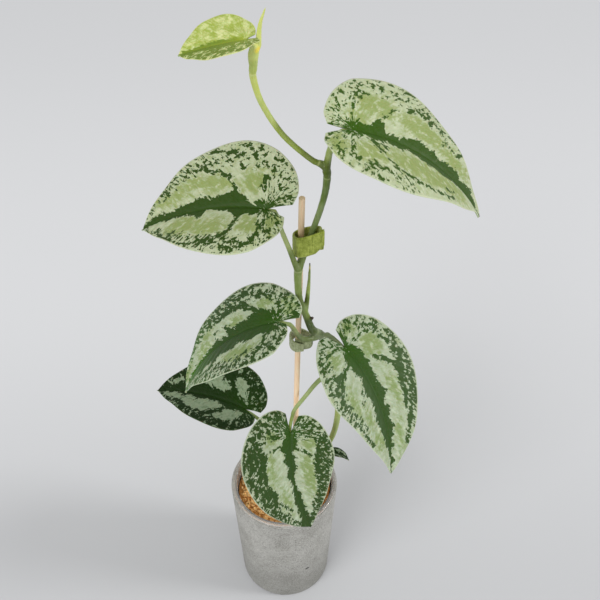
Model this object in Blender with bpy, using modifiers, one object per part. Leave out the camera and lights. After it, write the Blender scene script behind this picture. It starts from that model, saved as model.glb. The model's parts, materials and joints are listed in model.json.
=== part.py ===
"""Satin pothos on a thin wooden stake, in a clear liner inside a speckled stoneware pot.

The origin is the middle of the pot's foot, Z is up, and the plant is seen from -Y.
Sizes are in millimetres times MM, so the finished model is in metres.
"""

import math
import random
from dataclasses import dataclass

import bmesh
import bpy
from mathutils import Matrix, Vector, noise

MM = 0.001
GAP = 0.3  # clearance between pieces that touch

# Outer pot, turned
POT_RIM_RADIUS = 32.0
POT_FOOT_RADIUS = 28.0
POT_HEIGHT = 94.3
POT_WALL = 2.2
POT_FLOOR = 4.0
POT_LIP_ROUND = 0.9
POT_FOOT_ROUND = 2.0

# Clear liner pot, whose rolled rim rests on the pot's lip
LINER_WALL = 0.8
LINER_RIM_RADIUS = 31.2
LINER_RIM_HEIGHT = 1.5
LINER_RIM_ROUND = 0.4
LINER_HOLE_RADIUS = 2.5
LINER_HOLE_RING = 14.0
LINER_HOLES = 6

# Bark and coir substrate
SOIL_TOP = 88.6
SOIL_SLOPE = 0.05  # the surface rises towards +X
CHIP_HEIGHT = 2.4
CHIP_SIZE = 6.0
CHIP_SEED = 11

# Stake, leaning slightly to the right
STAKE_RADIUS = 1.45
STAKE_FOOT = (4.5, 2.5, 15.0)
STAKE_TOP = (10.5, 2.5, 322.0)

# Hook-and-loop ties. The lower and upper edge of each tape is told by its height at
# TIE_MIDDLE and by its rise for each millimetre towards +X and +Y
TAPE = 1.1
TIE_MIDDLE = (11.6, -3.6)
UPPER_TIE_EDGES = ((291.6, 0.38, -0.35), (304.2, 0.38, -0.35))
UPPER_TIE_CUT = 3.5  # the outer end's lower corner is cut off by this
LOWER_TIE_EDGES = ((220.4, 0.0, 0.0), (226.5, -0.3, 0.0))
LOWER_TIE_CUT = 1.5

# Plan path of each tape, from its inner end round to its outer end
UPPER_TIE_PATH = [
    (20.4, -1.9), (18.8, -1.3), (18.8, 2.2), (15.0, 4.8), (9.8, 5.4), (7.0, 3.8), (6.9, 0.6),
    (8.4, -3.1), (12.0, -4.5), (16.2, -4.2), (20.6, -3.6),
]
LOWER_TIE_PATH = [
    (7.0, 0.3), (8.7, 0.2), (12.0, 0.0), (14.8, 1.2), (15.6, 4.0), (13.8, 7.0), (10.0, 8.4),
    (6.8, 7.6), (4.8, 4.2), (5.1, 0.6), (6.9, -1.5), (9.2, -2.2), (11.5, -2.4),
]

# Stem: each place is (x, y, z) with the stem's radius there, from the root end up
STEM = [
    ((13.0, 10.0, 60.0), 1.8), ((13.0, 10.0, 82.0), 1.8), ((13.2, 10.0, 90.0), 1.8),
    ((20.0, 10.0, 106.0), 1.8),
    ((28.3, 10.0, 127.0), 1.7), ((31.2, 10.0, 150.0), 1.8), ((30.0, 9.0, 176.0), 1.8),
    ((26.6, 7.4, 200.0), 1.9), ((22.6, 5.4, 220.0), 2.2), ((19.6, 4.0, 227.5), 2.5),
    ((15.8, 2.3, 233.0), 2.1), ((12.2, 0.1, 248.0), 1.8), ((9.3, -1.5, 260.0), 1.7),
    ((8.6, -2.0, 273.0), 1.8), ((8.9, -1.9, 281.5), 2.1), ((11.0, -1.2, 289.0), 1.7),
    ((15.2, 0.9, 303.0), 1.45), ((18.8, 1.0, 317.0), 1.5), ((21.0, 0.8, 330.0), 1.6),
    ((20.7, 0.4, 341.0), 1.9), ((15.6, 0.0, 344.6), 1.3), ((9.4, 0.0, 350.6), 1.25),
    ((2.6, 0.0, 358.6), 1.25), ((-3.2, 0.0, 368.8), 1.25), ((-7.1, 0.0, 378.6), 1.3),
    ((-8.9, 0.0, 388.0), 1.5), ((-9.0, 0.0, 391.0), 2.1), ((-8.3, 0.0, 397.0), 2.0),
    ((-7.4, 0.0, 402.0), 1.7),
]

# Side growths of the stem, told like the stem: old sheath, root nub and the rolled new leaf
SHEATH = [((12.2, 0.4, 247.0), 1.3), ((13.1, 1.0, 257.0), 1.2), ((13.9, 1.6, 269.0), 0.8),
          ((14.3, 2.0, 281.5), 0.4)]
ROOT_NUB = [((13.8, 1.2, 240.0), 1.2), ((15.0, 0.2, 243.5), 0.9), ((16.0, -0.6, 245.6), 0.6)]
NEW_LEAF = [((-7.8, 0.2, 398.0), 1.4), ((-5.4, 0.8, 404.0), 1.1), ((-4.2, 0.6, 410.0), 0.8),
            ((-3.2, 0.0, 417.6), 0.3)]

PETIOLE_END_RADIUS = 1.0
PETIOLE_UNDER_BLADE = 0.03  # share of the blade that a petiole runs on under
PETIOLE_NECK = 3.5  # straight stretch before it
STEM_STEP = 4.0  # spacing of the tube's rings
STEM_BEVEL = 2

# Blades
BLADE = 0.8
BLADE_ROWS = 18
BLADE_HALF_COLUMNS = 4
TIP_HALF_WIDTH = 0.5

# Right half of the heart outline from the end of the sinus edge to the tip, as shares of
# the blade's length (along) and half width (across); along is negative behind the petiole
SINUS_CORNER = (-0.185, 0.14)
OUTLINE = [
    SINUS_CORNER, (-0.20, 0.35), (-0.14, 0.62), (0.0, 0.86), (0.17, 0.99), (0.33, 0.99),
    (0.50, 0.88), (0.67, 0.69), (0.82, 0.43), (0.93, 0.18), (1.0, 0.0),
]


@dataclass(frozen=True)
class Leaf:
    """One blade: sizes in millimetres, angles in degrees, and the petiole's way to it."""

    name: str
    base: tuple  # where the petiole meets the blade
    length: float  # base to tip along the midrib
    left: float  # half width on the left, looking from base to tip
    right: float
    azimuth: float  # direction of the midrib at the base, from +X towards +Y
    pitch: float
    roll: float
    bend: float  # how much the midrib arches down from base to tip
    sweep: float  # how much the midrib curves to the left
    fold: float  # rise of each half from the midrib
    cup: float  # further turn of each half by its margin, negative is down
    twist: float
    left_lobe: float  # lobe length against the usual one
    right_lobe: float
    left_gap: float  # widening of the sinus, as a share of the half width
    right_gap: float
    petiole: tuple  # places and radii from the stem to the blade


LEAVES = [
    Leaf("leaf_1", (-11.1, -3.1, 406.0), 26, 16, 16, 189, -5, 7, 12, -5, 16, -6, -10,
         1.0, 0.92, 0.02, 0.0, (((-8.3, 0.0, 397.0), 1.3), ((-7.6, -1.4, 402.0), 1.2))),
    Leaf("leaf_2", (30.3, -10.6, 369.8), 72, 30, 28, 4, -15, 10, 45, -19, 14, -18, -2,
         0.78, 0.86, -0.1, 0.01, (((20.8, 0.4, 338.0), 1.7), ((21.8, -1.0, 350.0), 1.5),
                                  ((24.0, -6.0, 362.0), 1.3))),
    Leaf("leaf_3", (-4.8, -8.9, 326.0), 60, 28, 32, 166, -4, -17, 26, 21, 17, -14, 4,
         0.83, 0.98, 0.01, -0.03, (((9.0, -1.9, 279.0), 1.7), ((7.2, -4.6, 288.0), 1.4),
                                   ((4.8, -5.7, 298.0), 1.2), ((1.2, -8.0, 313.0), 1.1))),
    Leaf("leaf_4", (-2.2, -18.4, 262.7), 64, 27, 28, 182, -14, 4, 58, 12, 13, -14, 1,
         0.5, 1.0, 0.01, -0.1, (((18.6, 2.8, 227.0), 1.8), ((12.7, -0.4, 228.6), 1.6),
                                ((9.1, -3.6, 234.8), 1.35), ((6.9, -10.0, 247.0), 1.2),
                                ((4.8, -16.0, 258.0), 1.1))),
    Leaf("leaf_5", (32.5, -5.6, 228.3), 66, 27, 27, -37, -31, 5, 29, -38, 15, -17, 3,
         0.79, 0.97, -0.02, 0.01, (((21.6, 4.8, 223.0), 1.9), ((23.6, 2.4, 229.0), 1.4))),
    Leaf("leaf_6", (-22.8, 20.0, 141.6), 54, 25, 26, 160, 16, 3, 30, 12, 20, -13, -3,
         0.78, 0.95, 0.0, -0.05, (((15.0, 10.0, 94.0), 1.6), ((6.0, 16.0, 104.0), 1.3),
                                  ((-5.0, 18.6, 119.0), 1.2), ((-14.6, 18.4, 133.0), 1.1))),
    Leaf("leaf_7", (4.3, -6.6, 154.7), 58, 25, 29, -93, -42, -18, 28, 36, 13, -20, 1,
         0.96, 1.0, 0.01, 0.0, (((28.0, 8.2, 192.0), 1.7), ((19.4, 4.2, 188.0), 1.3),
                                ((12.2, -0.6, 180.3), 1.2), ((6.6, -2.2, 170.9), 1.1),
                                ((5.4, -0.8, 163.4), 1.05))),
    Leaf("leaf_8", (27.6, 7.6, 113.8), 13, 4, 4, -3, 12, -12, 70, 0, 18, 0, 0,
         0.4, 0.4, 0.0, 0.0, (((21.2, 10.0, 109.0), 1.3),)),
]


def clear_scene():
    for found in list(bpy.data.objects):
        bpy.data.objects.remove(found, do_unlink=True)
    for found in list(bpy.data.collections):
        bpy.data.collections.remove(found)


def new_collection(name):
    made = bpy.data.collections.new(name)
    bpy.context.scene.collection.children.link(made)
    return made


def material(name, colour, roughness, metallic=0.0, transmission=0.0):
    """A Principled BSDF with the piece's own colour and roughness."""
    made = bpy.data.materials.new(name)
    made.use_nodes = True
    shader = made.node_tree.nodes["Principled BSDF"]
    shader.inputs["Base Color"].default_value = (*colour, 1.0)
    shader.inputs["Roughness"].default_value = roughness
    shader.inputs["Metallic"].default_value = metallic
    shader.inputs["Transmission Weight"].default_value = transmission
    made.diffuse_color = (*colour, 1.0)
    return made


def object_from_bmesh(name, shape, collection, finish):
    mesh = bpy.data.meshes.new(name)
    shape.to_mesh(mesh)
    shape.free()
    made = bpy.data.objects.new(name, mesh)
    collection.objects.link(made)
    if finish:
        mesh.materials.append(finish)
    return made


def smooth(thing, angle=math.radians(40)):
    thing.data.shade_smooth()
    thing.data.set_sharp_from_angle(angle=angle)


def as_helper(thing):
    thing.hide_render = True
    thing.display_type = "WIRE"


def turned(name, profile, collection, finish, steps=64):
    """A profile of (radius, height) turned about Z, going down its outer side."""
    shape = bmesh.new()
    corners = [shape.verts.new((r * MM, 0.0, z * MM)) for r, z in profile]
    for low, high in zip(corners, corners[1:]):
        shape.edges.new((low, high))
    made = object_from_bmesh(name, shape, collection, finish)
    screw = made.modifiers.new("Turn", "SCREW")
    screw.steps = steps
    screw.render_steps = steps
    screw.use_merge_vertices = True
    screw.merge_threshold = 0.00001
    screw.use_smooth_shade = True
    return made


def apply_modifiers(thing):
    """Replaces the object's mesh by what its modifiers make of it."""
    graph = bpy.context.evaluated_depsgraph_get()
    mesh = bpy.data.meshes.new_from_object(thing.evaluated_get(graph))
    thing.modifiers.clear()
    thing.data = mesh


def boolean(thing, operation, cutter=None, collection=None):
    """Cuts or joins with one object or a whole collection, and keeps the result."""
    step = thing.modifiers.new(operation.title(), "BOOLEAN")
    step.operation = operation
    if collection:
        step.operand_type = "COLLECTION"
        step.collection = collection
    else:
        step.object = cutter
    apply_modifiers(thing)


def arc(centre, radius, start, end, count):
    """Points of an arc in the profile plane, with angles in degrees from +X."""
    angles = [math.radians(start + (end - start) * i / count) for i in range(count + 1)]
    return [(centre[0] + radius * math.cos(a), centre[1] + radius * math.sin(a)) for a in angles]


def curve_through(points, step):
    """Points about a step apart on a smooth curve through the given ones.

    Each point may hold more than its place, such as a radius, which is carried along.
    """
    rows = [Vector(p) for p in points]
    rows = [2 * rows[0] - rows[1], *rows, 2 * rows[-1] - rows[-2]]
    out = []
    for before, a, b, after in zip(rows, rows[1:], rows[2:], rows[3:]):
        count = max(1, round((b - a).length / step))
        for i in range(count):
            t = i / count
            out.append(
                0.5 * (2 * a + (b - before) * t + (2 * before - 5 * a + 4 * b - after) * t * t
                       + (3 * a - before - 3 * b + after) * t ** 3)
            )
    return [*out, rows[-2]]


def tube(name, places, collection, finish=None):
    """A closed tube through ((x, y, z), radius) places, as a mesh object."""
    rows = curve_through([(*place, radius) for place, radius in places], STEM_STEP)
    curve = bpy.data.curves.new(name, "CURVE")
    curve.dimensions = "3D"
    curve.bevel_depth = MM
    curve.bevel_resolution = STEM_BEVEL
    curve.use_fill_caps = True
    spline = curve.splines.new("POLY")
    spline.points.add(len(rows) - 1)
    for point, row in zip(spline.points, rows):
        point.co = (row[0] * MM, row[1] * MM, row[2] * MM, 1.0)
        point.radius = row[3]
    guide = bpy.data.objects.new(name, curve)
    collection.objects.link(guide)
    graph = bpy.context.evaluated_depsgraph_get()
    mesh = bpy.data.meshes.new_from_object(guide.evaluated_get(graph))
    bpy.data.objects.remove(guide)
    shape = bmesh.new()
    shape.from_mesh(mesh)
    bpy.data.meshes.remove(mesh)
    bmesh.ops.remove_doubles(shape, verts=shape.verts, dist=0.000001)
    return object_from_bmesh(name, shape, collection, finish)


def pot_outer_radius(z):
    return POT_FOOT_RADIUS + (POT_RIM_RADIUS - POT_FOOT_RADIUS) * z / POT_HEIGHT


def pot_inner_radius(z):
    return pot_outer_radius(z) - POT_WALL


def liner_outer_radius(z):
    """The liner's wall stays a clearance inside the pot's inner wall."""
    return pot_inner_radius(z) - GAP


def soil_radius(z):
    return liner_outer_radius(z) - LINER_WALL - GAP


def make_pot(collection, finish):
    """Tapered stoneware pot with a rounded lip and a softened foot."""
    lip = POT_LIP_ROUND
    foot = POT_FOOT_ROUND
    profile = [(0.0, POT_FLOOR), (pot_inner_radius(POT_FLOOR), POT_FLOOR)]
    profile += arc((pot_inner_radius(POT_HEIGHT) + lip, POT_HEIGHT - lip), lip, 180, 90, 3)
    profile += arc((POT_RIM_RADIUS - lip, POT_HEIGHT - lip), lip, 90, 0, 3)
    profile += arc((pot_outer_radius(foot) - foot, foot), foot, 0, -90, 3)
    profile += [(0.0, 0.0)]
    return turned("pot", profile, collection, finish)


def make_liner(collection, cutters, finish):
    """Thin clear pot: a rolled rim, a tapered wall and a floor with drainage holes."""
    floor = POT_FLOOR + GAP
    wall = LINER_WALL
    foot = liner_outer_radius(floor)
    seat = POT_HEIGHT + GAP
    neck = liner_outer_radius(seat)
    rim, top, curl = LINER_RIM_RADIUS, seat + LINER_RIM_HEIGHT, LINER_RIM_ROUND
    profile = [
        (0.0, floor + wall), (foot - wall, floor + wall), (neck - wall, top - curl),
        (neck - wall + curl, top), (rim - curl, top), (rim, top - curl), (rim, seat),
        (neck, seat), (foot, floor), (0.0, floor),
    ]
    made = turned("liner", profile, collection, finish)
    apply_modifiers(made)
    drill = bmesh.new()
    places = [Vector((0, 0, floor * MM))]
    for i in range(LINER_HOLES):
        turn = Matrix.Rotation(i * math.tau / LINER_HOLES, 3, "Z")
        places.append(turn @ Vector((LINER_HOLE_RING * MM, 0, floor * MM)))
    for place in places:
        bmesh.ops.create_cone(
            drill, cap_ends=True, segments=12, radius1=LINER_HOLE_RADIUS * MM,
            radius2=LINER_HOLE_RADIUS * MM, depth=4 * wall * MM, matrix=Matrix.Translation(place),
        )
    cutter = object_from_bmesh("liner_drill", drill, cutters, None)
    as_helper(cutter)
    boolean(made, "DIFFERENCE", cutter)
    smooth(made)
    return made


def chip_height(x, y):
    """Height of the chipped surface over the soil level: one level for each chip."""
    place = Vector((x / CHIP_SIZE, y / CHIP_SIZE, CHIP_SEED))
    nearest = noise.voronoi(place)
    chip = noise.noise(nearest[1][0] * 7.3)
    crack = min(1.0, (nearest[0][1] - nearest[0][0]) * 3.0)
    return CHIP_HEIGHT * (chip * 0.8 + crack * 0.5 - 0.5) + SOIL_SLOPE * x


def make_substrate(collection, cutters, finish):
    """Plug that fills the liner, rough on top, with a plain hole for stake and stem."""
    floor = POT_FLOOR + GAP + LINER_WALL + GAP
    foot = soil_radius(floor)
    edge = soil_radius(SOIL_TOP - 2 * CHIP_HEIGHT)
    shape = bmesh.new()
    rings, spokes = 9, 36
    step = edge / rings
    heart = shape.verts.new((0, 0, (SOIL_TOP + chip_height(0, 0)) * MM))
    before = [heart]
    draw = random.Random(CHIP_SEED)
    for ring in range(1, rings + 1):
        row = []
        for spoke in range(spokes):
            angle = math.tau * (spoke + (ring % 2) * 0.5) / spokes
            reach = step * ring
            if ring < rings:
                reach += draw.uniform(-0.3, 0.3) * step
            x, y = reach * math.cos(angle), reach * math.sin(angle)
            row.append(shape.verts.new((x * MM, y * MM, (SOIL_TOP + chip_height(x, y)) * MM)))
        for i in range(spokes):
            j = (i + 1) % spokes
            if ring == 1:
                shape.faces.new((heart, row[i], row[j]))
            elif ring % 2:
                shape.faces.new((before[i], row[i], before[j]))
                shape.faces.new((before[j], row[i], row[j]))
            else:
                shape.faces.new((before[i], row[i], row[j]))
                shape.faces.new((before[i], row[j], before[j]))
        before = row
    low = [shape.verts.new((v.co.x * foot / edge, v.co.y * foot / edge, floor * MM)) for v in before]
    for i in range(spokes):
        j = (i + 1) % spokes
        shape.faces.new((before[i], low[i], low[j], before[j]))
    shape.faces.new(list(reversed(low)))
    bmesh.ops.recalc_face_normals(shape, faces=shape.faces)
    made = object_from_bmesh("substrate", shape, collection, finish)
    stake_way = bore("stake_bore", STAKE_FOOT, STAKE_TOP, STAKE_RADIUS + GAP, cutters)
    stem_foot, stem_radius = STEM[0]
    stem_head = (stem_foot[0], stem_foot[1], POT_HEIGHT)
    stem_way = bore("stem_bore", stem_foot, stem_head, stem_radius + 2 * GAP, cutters)
    for way in (stake_way, stem_way):
        boolean(made, "DIFFERENCE", way)
    return made


def rod_matrix(low, high):
    """Middle and turn of a rod from one place to another."""
    low, high = Vector(low) * MM, Vector(high) * MM
    turn = (high - low).to_track_quat("Z", "Y").to_matrix().to_4x4()
    return Matrix.Translation((low + high) / 2) @ turn, (high - low).length


def bore(name, low, high, radius, cutters):
    """A round cutter that starts a clearance below its low end."""
    low = Vector(low) - Vector((0, 0, GAP))
    matrix, length = rod_matrix(low, high)
    shape = bmesh.new()
    bmesh.ops.create_cone(
        shape, cap_ends=True, segments=16, radius1=radius * MM, radius2=radius * MM,
        depth=length, matrix=matrix,
    )
    made = object_from_bmesh(name, shape, cutters, None)
    as_helper(made)
    return made


def make_stake(collection, finish):
    matrix, length = rod_matrix(STAKE_FOOT, STAKE_TOP)
    shape = bmesh.new()
    bmesh.ops.create_cone(
        shape, cap_ends=True, segments=16, radius1=STAKE_RADIUS * MM,
        radius2=STAKE_RADIUS * MM, depth=length, matrix=matrix,
    )
    made = object_from_bmesh("stake", shape, collection, finish)
    smooth(made)
    return made


def make_tie(name, path, edges, cut, collection, finish):
    """A strip of tape that runs round the plan path and laps over its own start."""
    rows = curve_through([(x, y) for x, y in path], 2.0)
    last = len(rows) - 1
    shape = bmesh.new()
    bmesh.ops.create_grid(shape, x_segments=last, y_segments=2, size=1.0)
    for vert in shape.verts:
        row = round((vert.co.x + 1) / 2 * last)
        up = (vert.co.y + 1) / 2
        x, y = rows[row]
        low, high = (
            height + rise_x * (x - TIE_MIDDLE[0]) + rise_y * (y - TIE_MIDDLE[1])
            for height, rise_x, rise_y in edges
        )
        low += cut * max(0, row - last + 2) / 2
        z = low + (high - low) * up
        vert.co = Vector((x, y, z)) * MM
    bmesh.ops.triangulate(shape, faces=shape.faces)
    bmesh.ops.recalc_face_normals(shape, faces=shape.faces)
    made = object_from_bmesh(name, shape, collection, finish)
    thicken(made, TAPE)
    return made


def thicken(thing, thickness):
    step = thing.modifiers.new("Thickness", "SOLIDIFY")
    step.thickness = thickness * MM
    step.offset = 0.0
    step.use_even_offset = True
    step.use_quality_normals = True
    thing.data.shade_smooth()


def blade_frame(leaf):
    """Turn and place of a blade in the model, in millimetres."""
    turn = (
        Matrix.Rotation(math.radians(leaf.azimuth), 4, "Z")
        @ Matrix.Rotation(-math.radians(leaf.pitch), 4, "Y")
        @ Matrix.Rotation(math.radians(leaf.roll), 4, "X")
    )
    return Matrix.Translation(leaf.base) @ turn


def on_blade(leaf, along, across):
    """Place on the arched, folded and cupped blade of a flat point (along, across)."""
    share = along / leaf.length
    arch = math.radians(leaf.bend) / leaf.length
    down = arch * along
    reach = math.sin(down) / arch
    drop = (math.cos(down) - 1) / arch
    turn = math.radians(leaf.sweep) * share
    drift = turn * along / 2
    fold = math.radians(leaf.fold)
    curl = math.radians(leaf.cup or 0.1) / ((leaf.left + leaf.right) / 2)
    out = abs(across)
    side = math.copysign((math.sin(fold + curl * out) - math.sin(fold)) / curl, across)
    rise = (math.cos(fold) - math.cos(fold + curl * out)) / curl
    lean = math.radians(leaf.twist) * share
    wide = side * math.cos(lean) - rise * math.sin(lean)
    high = side * math.sin(lean) + rise * math.cos(lean)
    return Vector((
        reach - wide * math.sin(turn) * math.cos(down) + high * math.sin(down),
        drift + wide * math.cos(turn),
        drop + wide * math.sin(turn) * math.sin(down) + high * math.cos(down),
    ))


def outline_rows(count):
    """Outline points from the sinus corner to the tip, evenly spread along it."""
    dense = curve_through(OUTLINE, 0.02)
    reach = [0.0]
    for a, b in zip(dense, dense[1:]):
        reach.append(reach[-1] + (b - a).length)
    rows = []
    for i in range(count + 1):
        want = reach[-1] * i / count
        k = max(1, next(j for j, r in enumerate(reach) if r >= want - 1e-9))
        t = (want - reach[k - 1]) / (reach[k] - reach[k - 1])
        rows.append(dense[k - 1].lerp(dense[k], t))
    return rows


def flat_point(leaf, row, rows, share, side):
    """Flat blade point of a row, at a share of the way from midrib to margin."""
    u = row / (len(rows) - 1)
    edge = rows[row]
    width = leaf.left if side > 0 else leaf.right
    lobe = leaf.left_lobe if side > 0 else leaf.right_lobe
    gap = leaf.left_gap if side > 0 else leaf.right_gap
    behind = max(0.0, -edge[0]) / -SINUS_CORNER[0]
    along = edge[0] * (lobe if edge[0] < 0 else 1.0) * leaf.length
    across = (edge[1] + gap * min(1.0, behind)) * width
    across = max(across, TIP_HALF_WIDTH)
    spine = leaf.length * u ** 1.35
    return spine + (along - spine) * share, side * across * share


def make_blade(leaf, collection, finish):
    rows = outline_rows(BLADE_ROWS)
    shape = bmesh.new()
    columns = 2 * BLADE_HALF_COLUMNS
    bmesh.ops.create_grid(shape, x_segments=BLADE_ROWS, y_segments=columns, size=1.0)
    frame = blade_frame(leaf)
    for vert in shape.verts:
        row = round((vert.co.x + 1) / 2 * BLADE_ROWS)
        side = 1 if vert.co.y >= 0 else -1
        along, across = flat_point(leaf, row, rows, abs(vert.co.y), side)
        vert.co = frame @ on_blade(leaf, along, across) * MM
    bmesh.ops.triangulate(shape, faces=shape.faces)
    made = object_from_bmesh(leaf.name, shape, collection, finish)
    thicken(made, BLADE)
    return made


def petiole_places(leaf):
    """The petiole's places, ending flat under the midrib's base with a clearance."""
    turn = blade_frame(leaf).to_3x3()
    forward, up = turn @ Vector((1, 0, 0)), turn @ Vector((0, 0, 1))
    below = BLADE / 2 + GAP + PETIOLE_END_RADIUS
    seat = Vector(leaf.base) - up * below
    under = PETIOLE_UNDER_BLADE * leaf.length
    end = [seat + forward * reach for reach in (-PETIOLE_NECK, 0.0, under)]
    return [*leaf.petiole, *((tuple(place), PETIOLE_END_RADIUS) for place in end)]


def make_vine(collection, finish):
    """Stem with its sheath, root nub, rolled new leaf and petioles, grown as one."""
    grown = new_collection("vine_growths")
    tube("old_sheath", SHEATH, grown)
    tube("root_nub", ROOT_NUB, grown)
    tube("new_leaf", NEW_LEAF, grown)
    for leaf in LEAVES:
        tube("petiole_of_" + leaf.name, petiole_places(leaf), grown)
    made = tube("vine", STEM, collection, finish)
    boolean(made, "UNION", collection=grown)
    for growth in list(grown.objects):
        bpy.data.objects.remove(growth)
    bpy.data.collections.remove(grown)
    smooth(made)
    return made


def main():
    clear_scene()
    plant = new_collection("satin_pothos")
    cutters = new_collection("cutters")
    make_pot(plant, material("speckled_stoneware", (0.37, 0.37, 0.36), 0.75))
    make_liner(plant, cutters, material("clear_plastic", (0.9, 0.92, 0.92), 0.12, 0.0, 0.9))
    make_substrate(plant, cutters, material("bark_chips", (0.45, 0.2, 0.06), 0.9))
    make_stake(plant, material("pale_wood", (0.8, 0.58, 0.38), 0.65))
    make_tie("tie_upper", UPPER_TIE_PATH, UPPER_TIE_EDGES, UPPER_TIE_CUT, plant,
             material("olive_tape", (0.24, 0.3, 0.05), 0.9))
    make_tie("tie_lower", LOWER_TIE_PATH, LOWER_TIE_EDGES, LOWER_TIE_CUT, plant,
             material("grey_green_tape", (0.27, 0.31, 0.16), 0.9))
    make_vine(plant, material("green_stem", (0.12, 0.2, 0.05), 0.45))
    for leaf in LEAVES:
        young = leaf is LEAVES[0]
        colour = (0.36, 0.46, 0.12) if young else (0.2, 0.3, 0.14)
        make_blade(leaf, plant, material(leaf.name + "_skin", colour, 0.5))


main()
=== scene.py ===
"""Looks of a satin pothos on a thin stake, in a clear liner inside a speckled pot.

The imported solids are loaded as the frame. Each of them is replaced by a finer piece in
the same place. Lengths are in millimetres times MM, Z is up and -Y faces the camera.
"""

import json
import logging
import math
import random
from collections.abc import Callable
from dataclasses import dataclass
from enum import Enum

import bmesh
import bpy
import numpy as np
from mathutils import Matrix, Vector, noise

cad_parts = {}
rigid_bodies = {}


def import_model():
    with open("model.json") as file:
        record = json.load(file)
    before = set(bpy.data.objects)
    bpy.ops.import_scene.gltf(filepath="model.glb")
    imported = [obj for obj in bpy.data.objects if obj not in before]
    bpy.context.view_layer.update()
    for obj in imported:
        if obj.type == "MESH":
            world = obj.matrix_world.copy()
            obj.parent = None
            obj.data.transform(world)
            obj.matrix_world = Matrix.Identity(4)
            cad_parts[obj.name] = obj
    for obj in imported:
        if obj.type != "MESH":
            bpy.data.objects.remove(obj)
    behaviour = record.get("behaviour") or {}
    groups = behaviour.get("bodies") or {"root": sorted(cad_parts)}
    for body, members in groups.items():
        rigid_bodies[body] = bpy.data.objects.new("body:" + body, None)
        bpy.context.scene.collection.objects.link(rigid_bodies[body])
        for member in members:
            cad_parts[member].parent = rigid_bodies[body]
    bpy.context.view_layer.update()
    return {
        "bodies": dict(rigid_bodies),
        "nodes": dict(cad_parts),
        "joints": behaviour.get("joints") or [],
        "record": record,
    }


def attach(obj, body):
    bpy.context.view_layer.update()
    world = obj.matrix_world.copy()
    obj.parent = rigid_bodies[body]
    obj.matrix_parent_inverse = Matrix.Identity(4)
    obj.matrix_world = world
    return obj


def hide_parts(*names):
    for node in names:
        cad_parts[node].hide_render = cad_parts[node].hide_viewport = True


MM = 0.001
LOG = logging.getLogger("scene")

Place = tuple[float, float, float]
Spot = tuple[float, float]
Colour = tuple[float, float, float]
Value = object  # a node socket or a constant
Node = bpy.types.Node
Socket = bpy.types.NodeSocket
Material = bpy.types.Material
Thing = bpy.types.Object


def srgb(red: float, green: float, blue: float) -> Colour:
    """Linear colour of a 0 to 255 screen colour."""
    return tuple(((c / 255 + 0.055) / 1.055) ** 2.4 if c > 10 else c / 3294 for c in (red, green, blue))


def ramp(values: np.ndarray, start: np.ndarray | float, end: np.ndarray | float) -> np.ndarray:
    """A straight ramp from 0 at the start to 1 at the end, which may be the lower one."""
    return np.clip((values - start) / (end - start), 0, 1)


def bell(values: np.ndarray, width: float) -> np.ndarray:
    """A bell curve that is 1 at 0 and nearly 0 at twice the width."""
    return np.exp(-(values / width) ** 2)


# Shader building


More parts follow.
